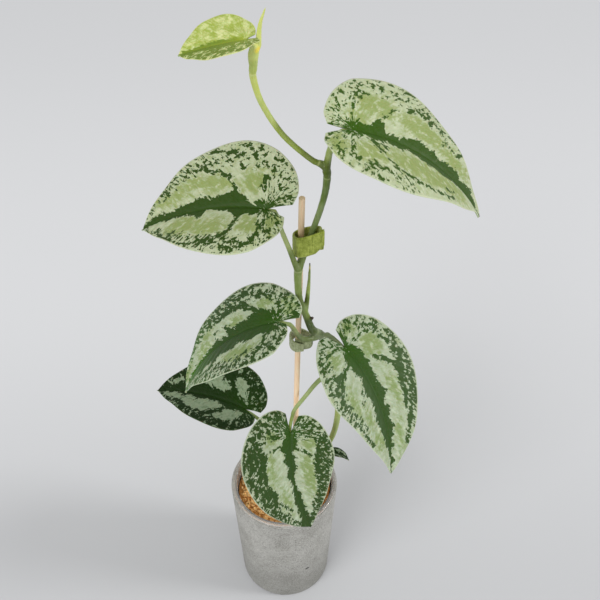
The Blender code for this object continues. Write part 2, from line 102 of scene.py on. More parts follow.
class Tree:
    """Builds a node tree with short calls, where a value may be a socket or a constant."""

    def __init__(self, tree: bpy.types.NodeTree) -> None:
        """Keeps the tree that the calls add to."""
        self.tree = tree

    def node(self, kind: str, inputs: dict[str | int, Value] | None = None, **settings: object) -> Node:
        """Adds a node.

        Args:
            kind: the node's type.
            inputs: value of each input, by its name or number.
            settings: the node's own properties.

        Returns:
            The node.
        """
        made = self.tree.nodes.new(kind)
        for name, value in settings.items():
            setattr(made, name, value)
        for name, value in (inputs or {}).items():
            self.put(made.inputs[name], value)
        return made

    def put(self, socket: Socket, value: Value) -> None:
        """Links or sets an input.

        Args:
            socket: the input.
            value: a socket to link, or a constant.
        """
        if isinstance(value, Socket):
            self.tree.links.new(value, socket)
        else:
            socket.default_value = (*value, 1.0) if socket.type == "RGBA" else value

    def math(self, operation: str, *values: Value) -> Socket:
        """One arithmetic step on up to three values."""
        return self.node("ShaderNodeMath", dict(enumerate(values)), operation=operation).outputs[0]

    def plus(self, total: Value, *others: Value) -> Socket:
        """Sum of several values."""
        for other in others:
            total = self.math("ADD", total, other)
        return total

    def product(self, total: Value, *others: Value) -> Socket:
        """Product of several values."""
        for other in others:
            total = self.math("MULTIPLY", total, other)
        return total

    def swing(self, value: Value, reach: float) -> Socket:
        """A noise value turned into a swing about 0."""
        return self.product(self.math("SUBTRACT", value, 0.5), reach)

    def mix(self, factor: Value, a: Value, b: Value) -> Socket:
        """A colour between a and b."""
        return self.node("ShaderNodeMix", {"Factor": factor, 6: a, 7: b}, data_type="RGBA").outputs[2]

    def step(self, value: Value, low: Value, high: Value, start: float = 0.0, end: float = 1.0) -> Socket:
        """A smooth step.

        Args:
            value: what takes the step.
            low: value where it starts.
            high: value where it ends.
            start: result before the step.
            end: result after it.

        Returns:
            The result.
        """
        inputs = dict(enumerate((value, low, high, start, end)))
        return self.node("ShaderNodeMapRange", inputs, interpolation_type="SMOOTHSTEP").outputs[0]

    def layer(self, colour: Value, value: Value, low: float, high: float, paint: Colour,
              cover: float = 1.0) -> Socket:
        """Lays a paint over a colour where a value takes a smooth step.

        Args:
            colour: what lies below.
            value: what takes the step.
            low: value where the paint starts.
            high: value where it is full.
            paint: its screen colour.
            cover: how much it covers where it is full.

        Returns:
            The colour.
        """
        return self.mix(self.step(value, low, high, end=cover), colour, srgb(*paint))

    def times(self, vector: Value, factors: Place) -> Socket:
        """A vector with each part multiplied by its own factor."""
        return self.node("ShaderNodeVectorMath", {0: vector, 1: factors}, operation="MULTIPLY").outputs[0]

    def noise(self, vector: Value, scale: float = 1.0, detail: float = 3.0, rough: float = 0.6,
              distortion: float = 0.0, stretch: Place | None = None) -> Socket:
        """Noise value about 0.5.

        Args:
            vector: the place.
            scale: how fine the noise is.
            detail: how many finer noises lie on it.
            rough: how strong those are.
            distortion: how much it is warped.
            stretch: factors for the place, if any.

        Returns:
            The value.
        """
        if stretch:
            vector = self.times(vector, stretch)
        inputs = {"Vector": vector, "Scale": scale, "Detail": detail, "Roughness": rough,
                  "Distortion": distortion}
        return self.node("ShaderNodeTexNoise", inputs).outputs["Fac"]

    def spots(self, vector: Value, scale: float, low: float, high: float) -> tuple[Socket, Socket]:
        """Round spots, one in each cell of a loose grid.

        Args:
            vector: the place.
            scale: how small the cells are.
            low: distance from the middle where a spot starts to fade.
            high: distance where it ends.

        Returns:
            The spots' mask, and a number from 0 to 1 for each of them.
        """
        cells = self.node("ShaderNodeTexVoronoi", {"Vector": vector, "Scale": scale}).outputs
        return self.step(cells["Distance"], low, high, 1.0, 0.0), self.axis(cells["Color"], "X")

    def brighter(self, colour: Value, amount: Value) -> Socket:
        """A colour made brighter by an amount."""
        return self.node("ShaderNodeBrightContrast", {"Color": colour, "Bright": amount}).outputs[0]

    def lighter(self, colour: Value, factor: Value) -> Socket:
        """A colour whose lightness is multiplied."""
        return self.node("ShaderNodeHueSaturation", {"Color": colour, "Value": factor}).outputs[0]

    def read(self, name: str, output: str = "Fac") -> Socket:
        """A vertex attribute's value."""
        return self.node("ShaderNodeAttribute", attribute_name=name).outputs[output]

    def place(self) -> Socket:
        """The place in the object's own space, in metres."""
        return self.node("ShaderNodeTexCoord").outputs["Object"]

    def axis(self, vector: Value, name: str) -> Socket:
        """One part, X, Y or Z, of a vector."""
        return self.node("ShaderNodeSeparateXYZ", {0: vector}).outputs[name]

    def relief(self, shader: Node, height: Value, distance: float, strength: float = 1.0) -> None:
        """Adds fine relief to a shader.

        Args:
            shader: the Principled BSDF.
            height: the relief's height, from 0 to 1.
            distance: how high it is, in metres.
            strength: how much of it shows.
        """
        inputs = {"Height": height, "Distance": distance, "Strength": strength}
        self.put(shader.inputs["Normal"], self.node("ShaderNodeBump", inputs).outputs[0])


def new_group(name: str, inputs: dict[str, tuple[str, ...]],
              outputs: dict[str, tuple[str, ...]]) -> tuple[Tree, dict[str, Socket], Node]:
    """Starts a shader node group.

    Args:
        name: the group's name.
        inputs: names of the inputs of each kind, which is Float, Vector or Color.
        outputs: the same for the outputs.

    Returns:
        The tree, the inputs' sockets by name, and the output node.
    """
    group = bpy.data.node_groups.new(name, "ShaderNodeTree")
    for way, kinds in (("INPUT", inputs), ("OUTPUT", outputs)):
        for kind, sockets in kinds.items():
            for socket in sockets:
                group.interface.new_socket(socket, in_out=way, socket_type="NodeSocket" + kind)
    tree = Tree(group)
    entry = tree.node("NodeGroupInput")
    return tree, {socket.name: socket for socket in entry.outputs}, tree.node("NodeGroupOutput")


BLADE_LINES = ("Vein", "Flat")
BLADE_VALUES = ("Dark", "Jag", "Heart", "Rim", "Base", "Shade", "Light")
BLADE_COLOURS = ("Silver", "Green Heart", "Green", "Base Green", "Rim Colour")


def variegation_group() -> bpy.types.NodeTree:
    """Colours a satin blade: dark bands with jagged edges on silver, with green hearts, and a painted
    highlight along the margin.

    Its lengths and the stretches of its noises are for flat millimetres on the blade.

    Returns:
        The group.
    """
    tree, given, out = new_group(
        "satin_variegation",
        {"Vector": BLADE_LINES, "Float": (*BLADE_VALUES, "Soft", "Streaks"), "Color": BLADE_COLOURS},
        {"Color": ("Color",), "Float": ("Silver Mask",)},
    )
    vein, flat = given["Vein"], given["Flat"]
    teeth = tree.noise(vein, stretch=(0.6, 0.24, 1.0))
    crumbs = tree.noise(flat, distortion=0.7, stretch=(0.55, 0.55, 1.0))
    teeth_reach, crumbs_reach = 6.5, 5.5
    wander = tree.plus(tree.product(teeth, teeth_reach), tree.product(crumbs, crumbs_reach))
    wander = tree.math("SUBTRACT", wander, (teeth_reach + crumbs_reach) / 2)
    edge = tree.plus(given["Dark"], tree.product(wander, given["Jag"]))
    dark = tree.step(edge, tree.product(given["Soft"], -1.0), given["Soft"])

    wisps = tree.noise(vein, detail=4.0, rough=0.65, stretch=(0.45, 0.2, 1.0))
    clouds = tree.noise(flat, detail=4.0, rough=0.65, distortion=0.4, stretch=(0.42, 0.42, 1.0))
    cloud_reach = 10.0
    cloud = tree.math("SUBTRACT", tree.plus(wisps, clouds), 1.0)
    heart = tree.plus(given["Heart"], tree.product(cloud, cloud_reach))
    silver = tree.mix(tree.step(heart, -1.8, 1.6), given["Silver"], given["Green Heart"])

    brush = tree.noise(vein, distortion=0.5, stretch=(0.5, 0.2, 1.0))
    blots = tree.noise(flat, detail=4.0, distortion=0.6, stretch=(0.28, 0.34, 1.0))
    brush = tree.product(tree.plus(brush, blots), 0.5)
    greener = tree.product(tree.step(brush, 0.5, 0.62, end=0.5), given["Streaks"])
    paler = tree.product(tree.step(brush, 0.49, 0.38, end=0.65), given["Streaks"])
    silver = tree.mix(greener, silver, given["Green Heart"])
    silver = tree.mix(paler, silver, given["Rim Colour"])

    grain = tree.noise(vein, detail=4.0, rough=0.7, stretch=(1.2, 0.6, 1.0))
    # the silver's lightness, set for each blade, is painted light and shade
    silver = tree.lighter(tree.brighter(silver, tree.swing(grain, 0.16)), given["Light"])
    green = tree.mix(given["Base"], given["Green"], given["Base Green"])
    green = tree.lighter(tree.brighter(green, tree.swing(grain, 0.05)), given["Shade"])
    # painted highlight along the blade's margin, in the rim colour
    rim = tree.step(given["Rim"], 0.965, 0.99, end=0.8)
    tree.put(out.inputs["Color"], tree.mix(rim, tree.mix(dark, silver, green), given["Rim Colour"]))
    tree.put(out.inputs["Silver Mask"], tree.math("SUBTRACT", 1.0, dark))
    return tree.tree


def grain_group() -> bpy.types.NodeTree:
    """Makes long fine streaks along Z, for wood and stems.

    Returns:
        The group.
    """
    tree, given, out = new_group("long_grain", {"Vector": ("Vector",), "Float": ("Across",)},
                                 {"Float": ("Fac",)})
    inputs = {0: given["Vector"], "Scale": given["Across"]}
    place = tree.node("ShaderNodeVectorMath", inputs, operation="SCALE").outputs[0]
    tree.put(out.inputs["Fac"], tree.noise(place, detail=4.0, stretch=(1.0, 1.0, 0.06)))
    return tree.tree


class Groups:
    """The shared shader node groups, each made once."""

    def __init__(self) -> None:
        """Makes every group."""
        self.variegation = variegation_group()
        self.grain = grain_group()

    def streaks(self, tree: Tree, across: float) -> Socket:
        """Long grain at the object's own place, finer where across is larger."""
        inputs = {"Vector": tree.place(), "Across": across}
        return tree.node("ShaderNodeGroup", inputs, node_tree=self.grain).outputs["Fac"]


@dataclass(frozen=True)
class Finish:
    """Constant surface values of one material."""

    name: str
    colour: Colour
    roughness: float
    specular: float = 0.5
    transmission: float = 0.0
    ior: float = 1.45
    sheen: float = 0.0
    subsurface: float = 0.0
    subsurface_scale: float = 0.002  # in metres

    def start(self) -> tuple[Material, Tree, Node]:
        """Makes the material.

        Returns:
            The material, its tree and its Principled BSDF.
        """
        made = bpy.data.materials.new(self.name)
        made.use_nodes = True
        tree = Tree(made.node_tree)
        shader = made.node_tree.nodes["Principled BSDF"]
        constants = {
            "Base Color": self.colour, "Roughness": self.roughness, "Specular IOR Level": self.specular,
            "Transmission Weight": self.transmission, "IOR": self.ior, "Sheen Weight": self.sheen,
            "Subsurface Weight": self.subsurface, "Subsurface Scale": self.subsurface_scale,
        }
        for name, value in constants.items():
            tree.put(shader.inputs[name], value)
        return made, tree, shader


# Meshes


def mesh_object(name: str, points: np.ndarray | list, faces: list, finish: Material,
                crease: float = 0.0, smooth: bool = True) -> Thing:
    """A mesh object from points in millimetres.

    Args:
        name: the object's name.
        points: one row of x, y, z for each vertex.
        faces: vertex numbers of each face.
        finish: the material.
        crease: angle in degrees above which an edge stays sharp, or 0 for none.
        smooth: whether the faces are shaded smooth.

    Returns:
        The object, linked to the scene.
    """
    mesh = bpy.data.meshes.new(name)
    mesh.from_pydata((np.asarray(points) * MM).tolist(), [], [tuple(face) for face in faces])
    mesh.materials.append(finish)
    if smooth:
        mesh.shade_smooth()
    if crease:
        mesh.set_sharp_from_angle(angle=math.radians(crease))
    made = bpy.data.objects.new(name, mesh)
    bpy.context.scene.collection.objects.link(made)
    return made


def settle(thing: Thing, node: str, slot: str) -> None:
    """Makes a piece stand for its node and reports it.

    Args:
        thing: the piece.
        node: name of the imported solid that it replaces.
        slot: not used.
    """
    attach(thing, "root")
    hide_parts(node)
    LOG.info("%s: %d faces", thing.name, len(thing.data.polygons))


def write_attribute(thing: Thing, name: str, values: np.ndarray) -> None:
    """Stores one number or one vector for each vertex.

    Args:
        thing: the mesh object.
        name: the attribute's name.
        values: a number or a row of three for each vertex.
    """
    values = np.asarray(values, dtype=np.float32)
    kind, key = ("FLOAT_VECTOR", "vector") if values.ndim == 2 else ("FLOAT", "value")
    made = thing.data.attributes.new(name, kind, "POINT")
    made.data.foreach_set(key, values.reshape(-1))


def run_length(path: np.ndarray) -> np.ndarray:
    """Length of a path from its start to each of its points."""
    return np.concatenate([[0], np.cumsum(np.linalg.norm(np.diff(path, axis=0), axis=1))])


def curve_through(points: list[tuple[float, ...]], step: float) -> np.ndarray:
    """Smooth curve through points.

    Args:
        points: the points, all of two or all of three numbers.
        step: about how far apart the curve's points are.

    Returns:
        One row for each point of the curve.
    """
    rows = [Vector(p) for p in points]
    rows = [2 * rows[0] - rows[1], *rows, 2 * rows[-1] - rows[-2]]
    out = []
    for before, a, b, after in zip(rows, rows[1:], rows[2:], rows[3:]):
        count = max(1, round((b - a).length / step))
        for i in range(count):
            t = i / count
            out.append(
                0.5 * (2 * a + (b - before) * t + (2 * before - 5 * a + 4 * b - after) * t * t
                       + (3 * a - before - 3 * b + after) * t ** 3)
            )
    return np.array([tuple(p) for p in (*out, rows[-2])])


def sheet_faces(rows: int, columns: int, start: int = 0, flip: bool = False) -> list[tuple[int, ...]]:
    """Quads of a grid of points that are numbered row by row.

    Args:
        rows: rows of points.
        columns: points in each row.
        start: number of the first point.
        flip: whether the faces look the other way.

    Returns:
        The quads.
    """
    faces = []
    for i in range(rows - 1):
        for j in range(columns - 1):
            a = start + i * columns + j
            quad = (a, a + columns, a + columns + 1, a + 1)
            faces.append(quad[::-1] if flip else quad)
    return faces


def closed_sheet(top: np.ndarray, bottom: np.ndarray) -> tuple[np.ndarray, list]:
    """Joins two grids of points into one closed skin.

    Args:
        top: rows by columns by 3 places of the upper side.
        bottom: the same for the lower side.

    Returns:
        The points and the faces.
    """
    rows, columns = top.shape[:2]
    count = rows * columns
    faces = sheet_faces(rows, columns) + sheet_faces(rows, columns, count, True)
    ring = [(i, 0) for i in range(rows)] + [(rows - 1, j) for j in range(1, columns)]
    ring += [(i, columns - 1) for i in range(rows - 2, -1, -1)]
    ring += [(0, j) for j in range(columns - 2, 0, -1)]
    edge = [i * columns + j for i, j in ring]
    for a, b in zip(edge, edge[1:] + edge[:1]):
        faces.append((b, a, a + count, b + count))
    return np.concatenate([top.reshape(-1, 3), bottom.reshape(-1, 3)]), faces


def turned(profile: list[tuple[float, float | None]], steps: int,
           ground: Callable[[float, float], float] | None = None) -> tuple[list[Place], list]:
    """Turns a profile about Z into a closed skin.

    Args:
        profile: radius and height of each ring, from the middle of the upper side outwards,
            down, and in to the middle of the underside.
        steps: points of each ring.
        ground: height at x and y, for the rings whose own height is None.

    Returns:
        The points and the faces.
    """
    points = []
    angles = [math.tau * j / steps for j in range(steps)]
    for radius, height in profile:
        for angle in angles if radius else angles[:1]:
            x, y = radius * math.cos(angle), radius * math.sin(angle)
            points.append((x, y, ground(x, y) if height is None else height))
    last = len(points) - 1
    faces = []
    for j in range(steps):
        k = (j + 1) % steps
        faces.append((0, 1 + j, 1 + k))
        for a in range(1, last - steps, steps):
            faces.append((a + j, a + steps + j, a + steps + k, a + k))
        faces.append((last - steps + j, last, last - steps + k))
    return points, faces


def arc(centre: Spot, radius: float, start: float, end: float, count: int) -> list[Spot]:
    """Points of an arc in the profile plane.

    Args:
        centre: radius and height of its middle.
        radius: its own radius.
        start: first angle, in degrees from the radius axis.
        end: last angle.
        count: number of pieces.

    Returns:
        The points.
    """
    angles = [math.radians(start + (end - start) * i / count) for i in range(count + 1)]
    return [(centre[0] + radius * math.cos(a), centre[1] + radius * math.sin(a)) for a in angles]


# Leaves

OUTLINE = [
    (-0.185, 0.14), (-0.20, 0.35), (-0.14, 0.62), (0.0, 0.86), (0.17, 0.99), (0.33, 0.99),
    (0.50, 0.88), (0.67, 0.69), (0.82, 0.43), (0.93, 0.18), (1.0, 0.0),
]


class Tone(Enum):
    """The kinds of blade colouring on this plant."""

    YOUNG = "young_leaf"
    SILVER = "silver_leaf"
    BANDED = "banded_leaf"
    DARK = "dark_leaf"


@dataclass(frozen=True)
class LeafFinish:
    """Colours of one kind of blade, as 0 to 255 screen colours."""

    silver: Colour
    heart: Colour
    green: Colour
    base: Colour
    # colour of the painted highlight along the margin, which also tints the paler strokes in the silver
    rim: Colour
    under: Colour = (170, 188, 138)
    under_vein: float = 0.86  # lightness of the faint veins below
    roughness: float = 0.46
    silver_roughness: float = 0.5
    green_roughness: float = 0.42
    specular: float = 0.13
    soft: float = 0.14  # half width of the edge between dark and silver, in millimetres
    streaks: float = 1.0  # strength of the paler and greener strokes in the silver

    def material(self, name: str, groups: Groups) -> Material:
        """Makes the blade's material, which reads the blade's attributes.

        Args:
            name: the material's name.
            groups: the shader groups.

        Returns:
            The material.
        """
        finish = Finish(name, srgb(*self.green), self.roughness, self.specular, subsurface=0.06)
        made, tree, shader = finish.start()
        values = {line: tree.read(line.lower(), "Vector") for line in BLADE_LINES}
        vein, flat = values.values()
        values |= {value: tree.read(value.lower()) for value in BLADE_VALUES}
        colours = (self.silver, self.heart, self.green, self.base, self.rim)
        values |= {part: srgb(*colour) for part, colour in zip(BLADE_COLOURS, colours)}
        values |= {"Soft": self.soft, "Streaks": self.streaks}
        upper = tree.node("ShaderNodeGroup", values, node_tree=groups.variegation).outputs
        lines = tree.noise(vein, detail=2.0, rough=0.5, stretch=(0.5, 0.1, 1.0))
        dim = [c * self.under_vein for c in self.under]
        under = tree.layer(srgb(*self.under), lines, 0.35, 0.7, dim)
        tree.put(shader.inputs["Base Color"], tree.mix(tree.read("upper"), under, upper["Color"]))
        shine = (self.silver_roughness - self.green_roughness, self.green_roughness)
        tree.put(shader.inputs["Roughness"], tree.math("MULTIPLY_ADD", upper["Silver Mask"], *shine))
        tree.relief(shader, tree.noise(flat, stretch=(2.2, 2.2, 1.0)), 0.00012, 0.6)
        return made


FINISHES = {
    Tone.YOUNG: LeafFinish((204, 213, 146), (160, 177, 80), (112, 134, 46), (158, 172, 62),
                           (220, 224, 160), soft=0.4),
    Tone.SILVER: LeafFinish((180, 190, 154), (146, 161, 99), (54, 78, 28), (48, 80, 8), (200, 208, 176)),
    Tone.BANDED: LeafFinish((168, 180, 152), (134, 152, 98), (53, 75, 37), (44, 78, 10), (190, 202, 174)),
    Tone.DARK: LeafFinish((126, 141, 114), (102, 118, 86), (24, 43, 11), (32, 60, 6), (72, 96, 62)),
}


@dataclass(frozen=True)
class Pattern:
    """Where a blade is dark, silver and light green.

    Every spot is (along, across) in percent: of the blade's length from base to tip, and
    of its half width, which is positive on the left.
    """

    left_band: tuple[Spot, ...]  # half width of the dark midrib band at places along
    right_band: tuple[Spot, ...]
    strokes: tuple[tuple[float, tuple[Spot, ...]], ...] = ()  # dark lines with their half width
    shades: tuple[tuple[Spot, ...], ...] = ()  # dark areas
    patches: tuple[tuple[Spot, ...], ...] = ()  # silver areas that lie over the dark ones
    hearts: tuple[tuple[float, float, float, float], ...] = ()  # green hearts: place and radii
    heart_depth: float = 9.0  # how full the hearts are, in millimetres: about 0 leaves them in blotches
    jag: float = 0.68  # how far the dark edges wander in the middle of the blade, in millimetres
    speckle: float = 1.0  # the same in the speckled zone along the margin and on the lobes
    speckle_from: float = 0.6  # where the speckled zone starts, from midrib to margin
    left_end: float = 1.2  # where it ends towards the tip on the left
    right_end: float = 1.2  # the same on the right
    lobes: float = 0.03  # where the wholly speckled lobes end
    level: float = -0.3  # darkness of the speckled zone: 0 is half dark
    star: float = 0.0  # reach of the dark streaks about the base, as a share of the length
    tip_green: float = 0.0  # how much lighter and greener the dark part is at the tip
    cap: float = 1.0  # how sure the dark areas are inside that zone, in millimetres
    shade: float = 1.0  # lightness of the dark green
    # the silver's lightness for each blade is painted light and shade
    light: float = 1.0  # lightness of the silver


@dataclass(frozen=True)
class Leaf:
    """One blade: sizes in millimetres, angles in degrees."""

    name: str
    tone: Tone
    base: Place  # where the midrib meets the petiole
    length: float  # from there to the tip
    left: float  # half width
    right: float
    azimuth: float  # where it points, seen from above
    pitch: float  # how far it rises at the base
    roll: float
    bend: float  # how far it arches down to the tip
    sweep: float  # how far it turns sideways to the tip
    fold: float  # how far each half rises at the midrib
    cup: float  # how far each half curls from there to the margin
    twist: float
    left_lobe: float  # length of the lobe, as a share of the outline's
    right_lobe: float
    left_gap: float  # added to the lobe's distance from the midrib, as a share of the half width
    right_gap: float
    pattern: Pattern

    def spread(self, spots: tuple[Spot, ...]) -> np.ndarray:
        """Flat millimetres of spots that are in percent of the length and the half width."""
        return np.array([
            (along / 100 * self.length, across / 100 * (self.left if across > 0 else self.right))
            for along, across in spots
        ])


PATTERN_1 = Pattern(
    left_band=((-20, 50), (0, 45), (30, 40), (60, 30), (90, 15), (100, 5)),
    right_band=((-20, 0), (0, 6), (30, 12), (60, 10), (90, 6), (100, 2)),
    shades=(
        ((-20, 10), (-20, 95), (50, 90), (100, 90), (100, 10)),
    ),
    hearts=((0, -50, 35, 50), (35, -60, 40, 40), (70, -40, 35, 35), (40, -20, 50, 20)),
    heart_depth=0.2, jag=0.5, speckle=0.75, speckle_from=0.2, level=-1.2, cap=0.3,
)
PATTERN_2 = Pattern(
    left_band=((-15, 5), (0, 6), (6, 13), (11, 13), (14, 25), (18, 22), (20, 6), (25, 8), (32, 12),
               (40, 18), (46, 19), (49, 13), (52, 20), (54, 10), (60, 13), (65, 17), (71, 19), (75, 11),
               (81, 17), (86, 17), (92, 6), (100, 0)),
    right_band=((-15, 5), (0, 10), (5, 12), (10, 10), (15, 18), (20, 12), (28, 17), (35, 10), (40, 13),
                (47, 18), (56, 18), (63, 15), (70, 10), (78, 5), (84, 0), (100, 0)),
    strokes=(
        (3.5, ((10, -10), (12, -20), (14, -30), (17, -38))), (3, ((14, -20), (20, -27))),
        (1.4, ((-1, -10), (-1, -40), (0, -60))), (1.4, ((18, 30), (21, 42), (26, 53))),
        (2, ((0, 30), (1, 45), (2, 60))), (2, ((4, 52), (7, 62))),
        (3.5, ((33, 58), (36, 66), (45, 67), (48, 58))),
        (2, ((45, 67), (60, 68), (70, 66), (78, 60), (85, 56))), (3, ((73, 62), (71, 50), (70, 42))),
        (2, ((57, 40), (61, 48), (67, 46))),
        (2.2, ((20, -50), (25, -60), (31, -67), (42, -70), (53, -68), (62, -62), (67, -57))),
        (2.2, ((62, -48), (67, -43))), (2.2, ((11, -62), (14, -74), (19, -68))),
        (2.2, ((3, -68), (8, -80), (12, -88), (19, -92))), (2, ((-8, -50), (-6, -68))),
    ),
    hearts=((14, 45, 11, 20), (42, 40, 17, 16), (68, 30, 12, 12), (4, 20, 6, 10), (42, -40, 24, 20),
            (10, -45, 10, 18), (66, -30, 14, 16), (-10, -40, 6, 20)),
    speckle_from=0.56, left_end=0.68, right_end=0.5, level=-0.35, lobes=0.0, cap=1.2, shade=1.2,
    star=0.065, jag=0.9,
)
PATTERN_3 = Pattern(
    left_band=((-15, 5), (-6, 12), (0, 10), (5, 17), (10, 16), (15, 17), (19, 25), (22, 22), (25, 12),
               (30, 10), (36, 6), (42, 2), (46, 5), (48, 19), (51, 21), (54, 13), (60, 8), (66, 9),
               (70, 4), (78, 6), (84, 1), (90, 3), (100, 2)),
    right_band=((-18, 8), (-8, 8), (0, 9), (5, 13), (10, 5), (16, 12), (21, 20), (25, 26), (28, 20),
                (35, 17), (41, 14), (47, 19), (50, 20), (57, 14), (65, 13), (74, 8), (80, 10), (88, 12),
                (95, 6), (100, 0)),
    strokes=(
        (3, ((19, 24), (21, 33), (22, 42), (23, 55))), (6, ((25, 58), (30, 65), (38, 72), (46, 75))),
        (3, ((46, 75), (55, 74), (62, 70), (70, 61), (77, 49), (82, 35), (84, 20))),
        (1.2, ((71, 62), (80, 44), (88, 30), (95, 10))), (3, ((69, 43), (72, 48))),
        (3, ((0, 10), (-2, 30), (0, 52), (2, 68))), (3, ((-8, 50), (-5, 58))),
        (3, ((3, 70), (10, 80), (20, 86), (28, 84), (22, 76), (27, 66))),
        (2.5, ((24, -25), (27, -37), (30, -45))), (3, ((33, -45), (38, -52), (45, -56), (47, -65))),
        (2.5, ((50, -61), (60, -61), (68, -59), (75, -54), (82, -46))),
        (2, ((74, -40), (83, -40), (88, -37), (91, -28))), (3, ((4, -25), (5, -45))),
        (2.5, ((10, -58), (12, -70))), (2.5, ((20, -55), (23, -66))),
        (3, ((26, -80), (33, -86), (45, -86))),
    ),
    hearts=((10, 40, 9, 16), (40, 42, 15, 17), (62, 32, 14, 20), (12, -38, 8, 20), (40, -36, 12, 14),
            (56, -42, 12, 12), (72, -26, 13, 10), (-8, 30, 6, 20)),
    jag=0.9, speckle_from=0.52, level=-0.2, lobes=0.1, cap=0.8, shade=0.95, star=0.07,
)
PATTERN_4 = Pattern(
    left_band=((-20, 20), (0, 30), (8, 30), (10, 25), (15, 32), (22, 38), (28, 30), (34, 40), (45, 36),
               (58, 38), (66, 36), (75, 34), (85, 28), (93, 20), (100, 8)),
    right_band=((-20, 6), (-5, 12), (0, 24), (10, 28), (20, 30), (30, 30), (40, 12), (55, 10), (66, 5),
                (80, 6), (100, 0)),
    strokes=(
        (3.5, ((5, 30), (7, 50), (10, 68), (20, 80), (33, 84), (42, 76), (50, 62), (52, 50))),
        (2, ((0, 72), (6, 88), (16, 95))), (5.5, ((50, 38), (56, 52), (60, 72))),
        (5, ((64, 36), (70, 50), (74, 66))),
        (5, ((0, -20), (10, -28), (18, -42), (24, -55), (36, -60), (55, -65))),
        (3, ((-6, -10), (-3, -35), (2, -55), (10, -72), (20, -82), (35, -85))),
    ),
    shades=(
        ((20, -50), (30, -50), (50, -48), (62, -48), (72, -42), (85, -42), (72, -62), (55, -78),
         (40, -90), (25, -85), (22, -70)),
        ((0, 0), (0, -22), (15, -28), (36, -30), (50, -30), (50, 0)),
    ),
    patches=(
        ((20, -22), (27, -20), (32, -15), (37, -26), (42, -40), (34, -50), (26, -45), (24, -34), (18, -33)),
        ((38, -8), (47, -10), (50, -18), (49, -30), (42, -34), (40, -20)),
        ((55, -6), (65, -8), (70, -20), (73, -38), (65, -36), (58, -30), (50, -14)),
        ((51, -33), (60, -32), (58, -55), (53, -48)),
        ((40, -36), (48, -36), (48, -44), (42, -44)),
        ((75, -8), (97, -4), (94, -30), (88, -42), (80, -30)),
    ),
    hearts=((28, 58, 13, 16), (6, -45, 6, 12), (30, -30, 6, 10), (63, -20, 8, 12), (57, -42, 4, 10),
            (88, -20, 8, 12), (-12, -30, 5, 20)),
    jag=0.9, speckle_from=0.5, level=0.05, cap=0.4, shade=1.05, star=0.06, tip_green=0.8, light=1.04,
)
PATTERN_5 = Pattern(
    left_band=((-14, 12), (-5, 15), (0, 12), (4, 19), (10, 20), (15, 17), (19, 20), (24, 15), (30, 17),
               (36, 14), (40, 21), (45, 21), (49, 10), (56, 16), (61, 11), (68, 15), (75, 11), (80, 8),
               (86, 4), (90, 6), (95, 2), (100, 0)),
    right_band=((-16, 4), (-10, 15), (-3, 10), (2, 15), (6, 20), (10, 28), (14, 22), (22, 24), (24, 15),
                (30, 20), (36, 25), (41, 24), (44, 18), (52, 21), (60, 24), (64, 20), (70, 17), (75, 12),
                (80, 14), (85, 5), (100, 0)),
    strokes=(
        (2, ((0, 20), (0, 40), (3, 60), (8, 72))),
        (4.5, ((19, 36), (23, 45), (28, 56), (35, 62), (45, 62), (52, 57))),
        (4.5, ((52, 55), (60, 53), (68, 50), (75, 44), (80, 39))), (3.5, ((20, 70), (27, 80))),
        (4, ((32, 68), (34, 76))), (4, ((42, 68), (44, 78))), (3.5, ((53, 62), (56, 74))),
        (4, ((10, 84), (20, 87), (30, 86), (46, 86), (58, 74))),
        (3, ((-4, -12), (-5, -40), (-5, -62), (0, -76), (10, -80), (15, -84))),
        (4, ((12, -28), (14, -44), (20, -58), (27, -69), (34, -75), (43, -76))),
        (3, ((43, -76), (52, -72), (60, -65), (70, -55), (77, -42))), (2, ((35, -30), (45, -37))),
        (2, ((60, -53), (70, -52))), (2, ((8, -70), (16, -68))),
    ),
    shades=(
        ((5, 85), (20, 74), (30, 58), (42, 52), (52, 56), (62, 48), (76, 42), (66, 60), (52, 78),
         (40, 88), (20, 93)),
        ((12, -30), (20, -56), (30, -70), (45, -74), (60, -62), (56, -72), (40, -84), (20, -82), (12, -62)),
    ),
    hearts=((10, 42, 8, 20), (43, 40, 10, 10), (75, 25, 10, 7), (0, -42, 7, 14), (40, -57, 12, 10),
            (56, -38, 8, 8), (75, -26, 7, 12), (-8, 30, 5, 15)),
    jag=0.95, speckle_from=0.56, left_end=0.85, right_end=0.7, level=-0.1, lobes=0.0, cap=0.5, shade=1.2,
    star=0.05, light=0.97,
)
PATTERN_6 = Pattern(
    left_band=((-20, 20), (0, 20), (10, 22), (20, 30), (30, 14), (42, 18), (56, 25), (60, 10), (70, 8),
               (100, 5)),
    right_band=((-20, 10), (0, 12), (10, 20), (20, 30), (32, 17), (50, 28), (70, 20), (100, 8)),
    shades=(
        ((-25, 110), (-25, -110), (110, -110), (110, 110)),
    ),
    patches=(
        ((0, 20), (1, 45), (8, 65), (17, 70), (23, 82), (26, 70), (30, 65), (23, 48), (18, 34), (12, 27),
         (6, 22)),
        ((22, 24), (27, 42), (35, 48), (36, 56), (42, 58), (50, 60), (60, 52), (66, 40), (75, 30),
         (85, 27), (93, 8), (80, 6), (72, 10), (68, 20), (60, 10), (56, 25), (42, 17), (30, 14)),
        ((0, -12), (12, -25), (20, -44), (21, -58), (14, -66), (6, -50), (3, -28)),
        ((22, -30), (32, -18), (40, -24), (55, -30), (50, -45), (35, -55), (27, -45)),
        ((70, -28), (85, -14), (88, -20), (84, -30), (75, -34)),
        ((-10, -20), (-5, -15), (-2, -35), (-3, -48), (-7, -40)),
        ((30, 70), (40, 80), (42, 75), (36, 70)),
        ((50, 72), (58, 72), (56, 66)),
    ),
    jag=1.15, speckle=1.1, speckle_from=0.6, level=0.6, cap=0.7, light=1.1,
)
